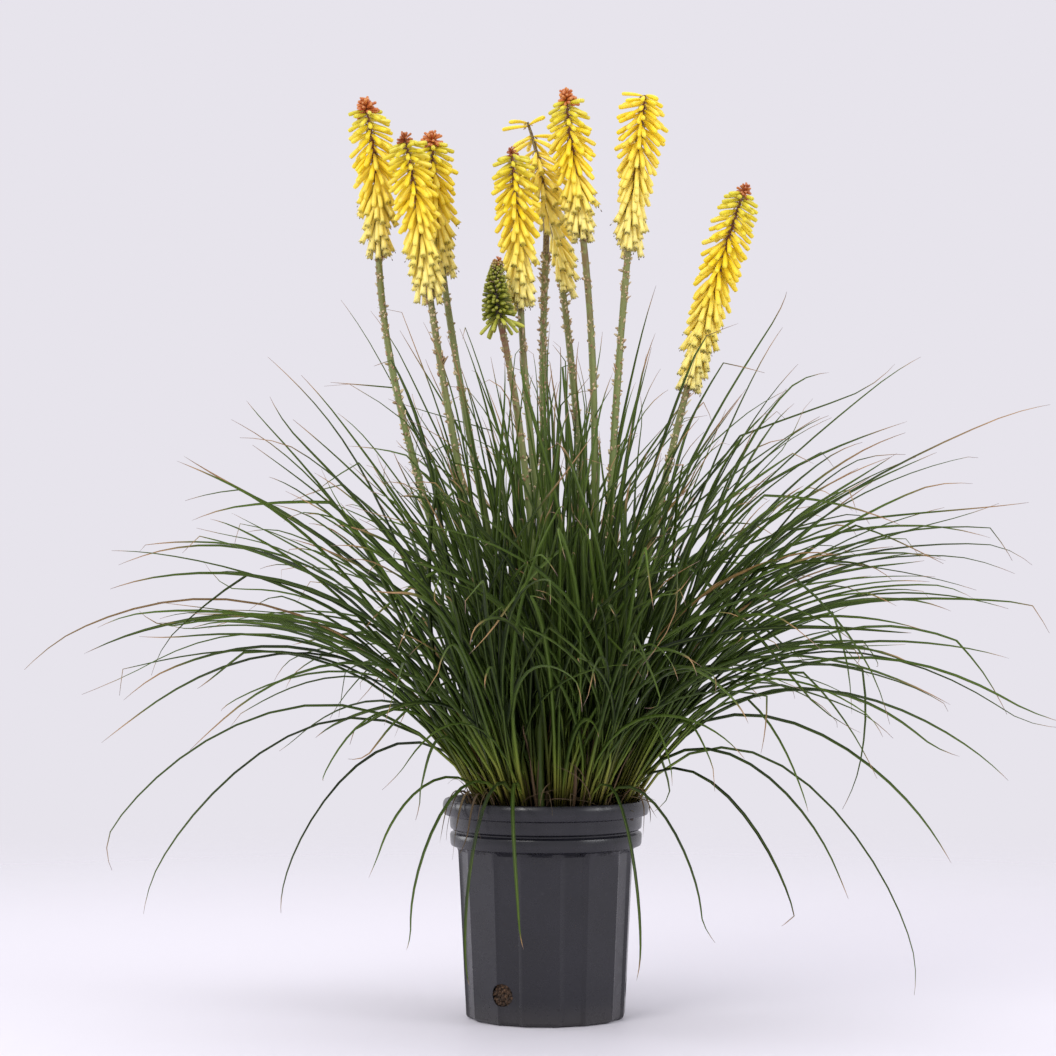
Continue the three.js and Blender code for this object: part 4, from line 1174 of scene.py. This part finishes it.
def floret_finish():
    """Waxy yellow florets: pale where they are open, golden in the middle of the spike and
    greenish at its top. The stalk inside is maroon and green."""
    f = Finish("floret_yellow", 0.42, Subsurface_Weight=0.12, Subsurface_Scale=0.003)
    f.shader.inputs["Subsurface Radius"].default_value = (1.0, 0.85, 0.3)
    uv = f.along()
    turn, run, _ = f.split(uv)
    light, share, stalk = f.tone()
    petal = f.ramp(share, [(0, "fdeb90"), (0.25, "fde874"), (0.42, "fce248"), (0.6, "fce028"),
                           (0.82, "f1da2a"), (1, "d8cc36")])
    deep = f.ramp(share, [(0, "f0dc74"), (0.3, "f2d755"), (0.5, "efc81c"), (0.75, "e2c01c"),
                          (1, "a8a22c")])
    mottle = f.noise(f.place(), 210.0, 3.0)
    shade = f.mix(f.between(mottle, 0.35, 0.7, 0.0, 0.35), petal, deep)
    # Painted shade: the deep colour at the foot of each floret, where the florets crowd round the spike's
    # stalk.
    shade = f.mix(f.between(run, 0.25, 0.0, 0.0, 0.6), shade, deep)
    shade = f.stain(shade, "f9e884", light, 0.4, 1.0, 0.3)
    ribs = f.calculate("SINE", f.calculate("MULTIPLY", turn, 12 * math.pi))
    knots = f.noise(f.place(), 420.0, 2.0)
    wood = f.mix(f.between(knots, 0.35, 0.62), "5b2a1c", "8a4a32")
    wood = f.mix(share, wood, f.mix(f.between(knots, 0.4, 0.6), "5d4c34", "8c8a5a"))
    shade = f.mix(stalk, shade, wood)
    f.bump(f.calculate("ADD", ribs, mottle), 0.0002, 0.35)
    return f.done(shade)


def green_bud_finish():
    """Young olive green buds, with painted shade at their feet between them, and yellow at their ends."""
    f = Finish("bud_green", 0.45, Subsurface_Weight=0.05, Subsurface_Scale=0.002)
    run = f.split(f.along())[1]
    light, share, stalk = f.tone()
    shade = f.mix(light, "4a5010", "7c8222")
    shade = f.stain(shade, "9a9a2c", run, 0.6, 1.0, 0.6)
    shade = f.stain(shade, "c2c248", share, 0.12, 0.0, 0.8)
    shade = f.stain(shade, "a56a48", share, 0.8, 1.0, 0.6)
    # Painted shade at the feet of the buds, where they crowd together.
    shade = f.stain(shade, "2f3a12", run, 0.3, 0.0, 0.8)
    shade = f.mix(stalk, shade, "4c3a24")
    f.bump(f.noise(f.place(), 500.0, 2.0), 0.0002, 0.4)
    return f.done(shade)


def orange_bud_finish():
    """Orange-red buds, some of them browned, with painted shade at their feet."""
    f = Finish("bud_orange", 0.45, Subsurface_Weight=0.08, Subsurface_Scale=0.002)
    run = f.split(f.along())[1]
    light, _, ripe = f.tone()
    shade = f.mix(light, "b8562a", "dc8f48")
    # Painted shade at the feet of the buds, where they crowd together.
    shade = f.stain(shade, "8e4a2a", run, 0.35, 0.0, 0.8)
    shade = f.stain(shade, "e0a468", run, 0.75, 1.0, 0.4)
    shade = f.mix(f.calculate("MULTIPLY", ripe, 0.7), shade, "7c402c")
    f.bump(f.noise(f.place(), 500.0, 2.0), 0.0002, 0.4)
    return f.done(shade)


def scale_finish():
    """Dry stubs on the stems: brown and pinkish."""
    f = Finish("scale_brown", 0.7)
    light, pink, _ = f.tone()
    shade = f.mix(light, "8f7450", "ded0a8")
    return f.done(f.mix(f.calculate("MULTIPLY", pink, 0.3), shade, "b98570"))


def anther_finish():
    """A pale filament that ends in a dark brown anther."""
    f = Finish("anther_brown", 0.6)
    run = f.split(f.along())[1]
    return f.done(f.mix(f.between(run, 0.68, 0.74), "e8d888", "4a2e20"))


def pot_finish():
    """Dark grey moulded plastic with a soft sheen, fine scuffs and dust."""
    f = Finish("pot_grey", Specular_IOR_Level=0.5)
    place = f.place()
    cloud = f.noise(place, 14.0, 4.0)
    grain = f.noise(place, 900.0, 2.0)
    scuffs = f.noise(place, 70.0, 5.0, 0.7)
    shade = f.mix(f.between(cloud, 0.3, 0.7), "121219", "181820")
    shade = f.stain(shade, "6b6a6e", scuffs, 0.62, 0.8, 0.15)
    height = f.split(place)[2]
    shade = f.stain(shade, "5e5a56", height, 0.03, 0.0, 0.2)
    f.bump(f.calculate("ADD", grain, f.calculate("MULTIPLY", cloud, 6.0)), 0.00004, 0.4)
    return f.done(shade, f.between(scuffs, 0.35, 0.75, 0.25, 0.36))


def soil_finish():
    """Dark moist potting mix."""
    f = Finish("soil_dark", 0.9)
    place = f.place()
    crumbs = f.noise(place, 260.0, 6.0, 0.7)
    shade = f.ramp(crumbs, [(0.3, "120d09"), (0.5, "2a1f16"), (0.62, "3f2f20"), (0.75, "6b5238")])
    f.bump(crumbs, 0.0015, 1.0)
    return f.done(shade)


def chip_finish():
    """Bark and crumbs, from nearly black to brown."""
    f = Finish("bark_brown", 0.85)
    light = f.tone()[0]
    grain = f.noise(f.place(), 500.0, 4.0)
    shade = f.mix(light, "1b130d", "5f4630")
    shade = f.stain(shade, "3b291b", grain, 0.4, 0.7, 0.6)
    f.bump(grain, 0.0008, 0.8)
    return f.done(shade)


# Dry pieces


def clump_root(random, nearest, furthest):
    """A place among the leaves, with its azimuth and its distance from the middle."""
    azimuth = random.uniform(0, 2 * math.pi)
    reach = SHEATH_REACH * math.sqrt(random.uniform(nearest, furthest)) * MM
    return CLUMP_CENTRE + reach * level(azimuth), azimuth, reach


def over_rim(azimuth, drop):
    """The curve of a dead leaf that hangs over the rim."""
    path = ((84, SOIL_TOP), (96, 246), (110, 250), (119, 222 - drop))
    outward = level(math.radians(azimuth))
    return np.array([radius * outward + [0, 0, height] for radius, height in path]) * MM


def make_dry_pieces(pattern, finish):
    """Withered sheaths and fibres round the shanks of the leaves, and dead leaves over the rim."""
    random = np.random.default_rng(33)
    lines, widths = [], []
    for _ in range(SHEATHS):
        root, azimuth, reach = clump_root(random, 0.15, 1)
        tilt = math.radians(random.uniform(0, 40) * reach / (SHEATH_REACH * MM))
        tip = root + heading(azimuth + random.normal(0, 0.5), tilt) * random.uniform(60, 150) * MM
        lines.append(leaf_controls(root, tip, math.radians(random.uniform(0, 25))))
        widths.append(random.uniform(2.5, 5.5) * MM)
    for _ in range(FIBRES):
        root, azimuth, _ = clump_root(random, 0.4, 1.15)
        along = heading(azimuth + random.normal(0, 1.2), random.uniform(0.2, 1.5))
        tip = root + along * random.gamma(4, 11) * MM
        lines.append(leaf_controls(root, tip, math.radians(random.uniform(0, 50))))
        widths.append(random.uniform(0.9, 2) * MM)
    for azimuth, drop in RIM_LEAVES:
        lines.append(over_rim(azimuth, drop))
        widths.append(random.uniform(2, 3.4) * MM)
    lines = waver(np.array([bezier(line, BLADE_SHARES) for line in lines]), random, DRY_WAVER)
    points = lay_blades(pattern, lines, np.array(widths), random, fold=(40, 5), thickness=0.5, twist=1.5)
    tone = random.uniform(size=(len(lines), 3))
    stack("dry_sheaths", [(pattern, points, tone)], finish)


# Stage, lights and camera


def make_floor():
    """A pale floor that fades into the backdrop."""
    deselect()
    bpy.ops.mesh.primitive_circle_add(
        vertices=96, radius=FLOOR_RADIUS, fill_type="NGON", location=(0, 0, -0.0005))
    floor = bpy.context.object
    floor.name = "studio_floor"
    f = Finish("floor_pale", 0.55, Specular_IOR_Level=0.15)
    out = f.node("ShaderNodeVectorMath", operation="LENGTH")
    f.feed(out.inputs[0], f.place())
    f.feed(f.shader.inputs["Alpha"], f.between(out.outputs["Value"], *FLOOR_FADES, 1.0, 0.0))
    floor.data.materials.append(f.done("e1dee6"))


def make_world():
    """A plain backdrop for the camera, and an even fill light for everything else."""
    world = bpy.data.worlds.new("studio")
    bpy.context.scene.world = world
    world.use_nodes = True
    nodes, links = world.node_tree.nodes, world.node_tree.links
    backdrop = nodes["Background"]
    backdrop.inputs["Color"].default_value = tint("e7e4ec")
    fill = nodes.new("ShaderNodeBackground")
    fill.inputs["Color"].default_value = tint("e8e6ec")
    seen = nodes.new("ShaderNodeLightPath")
    choice = nodes.new("ShaderNodeMixShader")
    links.new(seen.outputs["Is Camera Ray"], choice.inputs["Fac"])
    links.new(fill.outputs[0], choice.inputs[1])
    links.new(backdrop.outputs[0], choice.inputs[2])
    links.new(choice.outputs[0], nodes["World Output"].inputs["Surface"])


def make_light(name, place, aim, size, power, colour):
    """A square soft light that faces a point."""
    deselect()
    bpy.ops.object.light_add(type="AREA", location=place)
    light = bpy.context.object
    light.name = name
    light.data.size = size
    light.data.energy = power
    light.data.color = colour
    light.rotation_euler = (Vector(aim) - Vector(place)).to_track_quat("-Z", "Y").to_euler()


def make_camera():
    """A level camera in front of the plant."""
    deselect()
    bpy.ops.object.camera_add(location=CAMERA_PLACE, rotation=(math.pi / 2, 0, 0))
    camera = bpy.context.object
    camera.name = "camera"
    camera.data.sensor_width = 36
    camera.data.lens = CAMERA_LENS
    bpy.context.scene.camera = camera


# Assembly

make_pot(pot_finish())
make_soil(soil_finish())
make_chips(chip_finish())
blade = blade_pattern()
make_tufts(blade, leaf_finish())
make_dry_pieces(blade, dry_finish())

stalk = tube_pattern(STALK_SIDES, [(step / STALK_ROWS, 1) for step in range(STALK_ROWS + 1)])
shapes = {"open": open_pattern(), "bud": bud_pattern(), "stalk": stalk}
yellow, green, orange = floret_finish(), green_bud_finish(), orange_bud_finish()
stem_green = stalk_finish()
mouths, feet = [], []
for letter, bloom in FLOWERS.items():
    make_stalk(letter, bloom, stalk, stem_green)
    finish, slot = (green, "green_bud") if letter == YOUNG else (yellow, "yellow_floret")
    florets = make_spike(letter, bloom, shapes, finish)
    mouths.append(florets["mouths"])
    feet.append(florets["feet"])
    if letter not in WITHOUT_TIP_BUDS:
        make_tip(letter, bloom, shapes["bud"], orange)
papery = scale_finish()
scale = tube_pattern(4, [(0, 1), (0.4, 1.1), (0.8, 0.5)])
make_scales(scale, papery)
make_bracts(feet, scale, papery)
make_anthers(mouths, tube_pattern(4, [(0, 0.4), (0.68, 0.35), (0.74, 1), (0.92, 0.9)]), anther_finish())

make_world()
make_floor()
for light in LIGHTS:
    make_light(*light)
make_camera()
bpy.context.scene.view_settings.view_transform = "Standard"
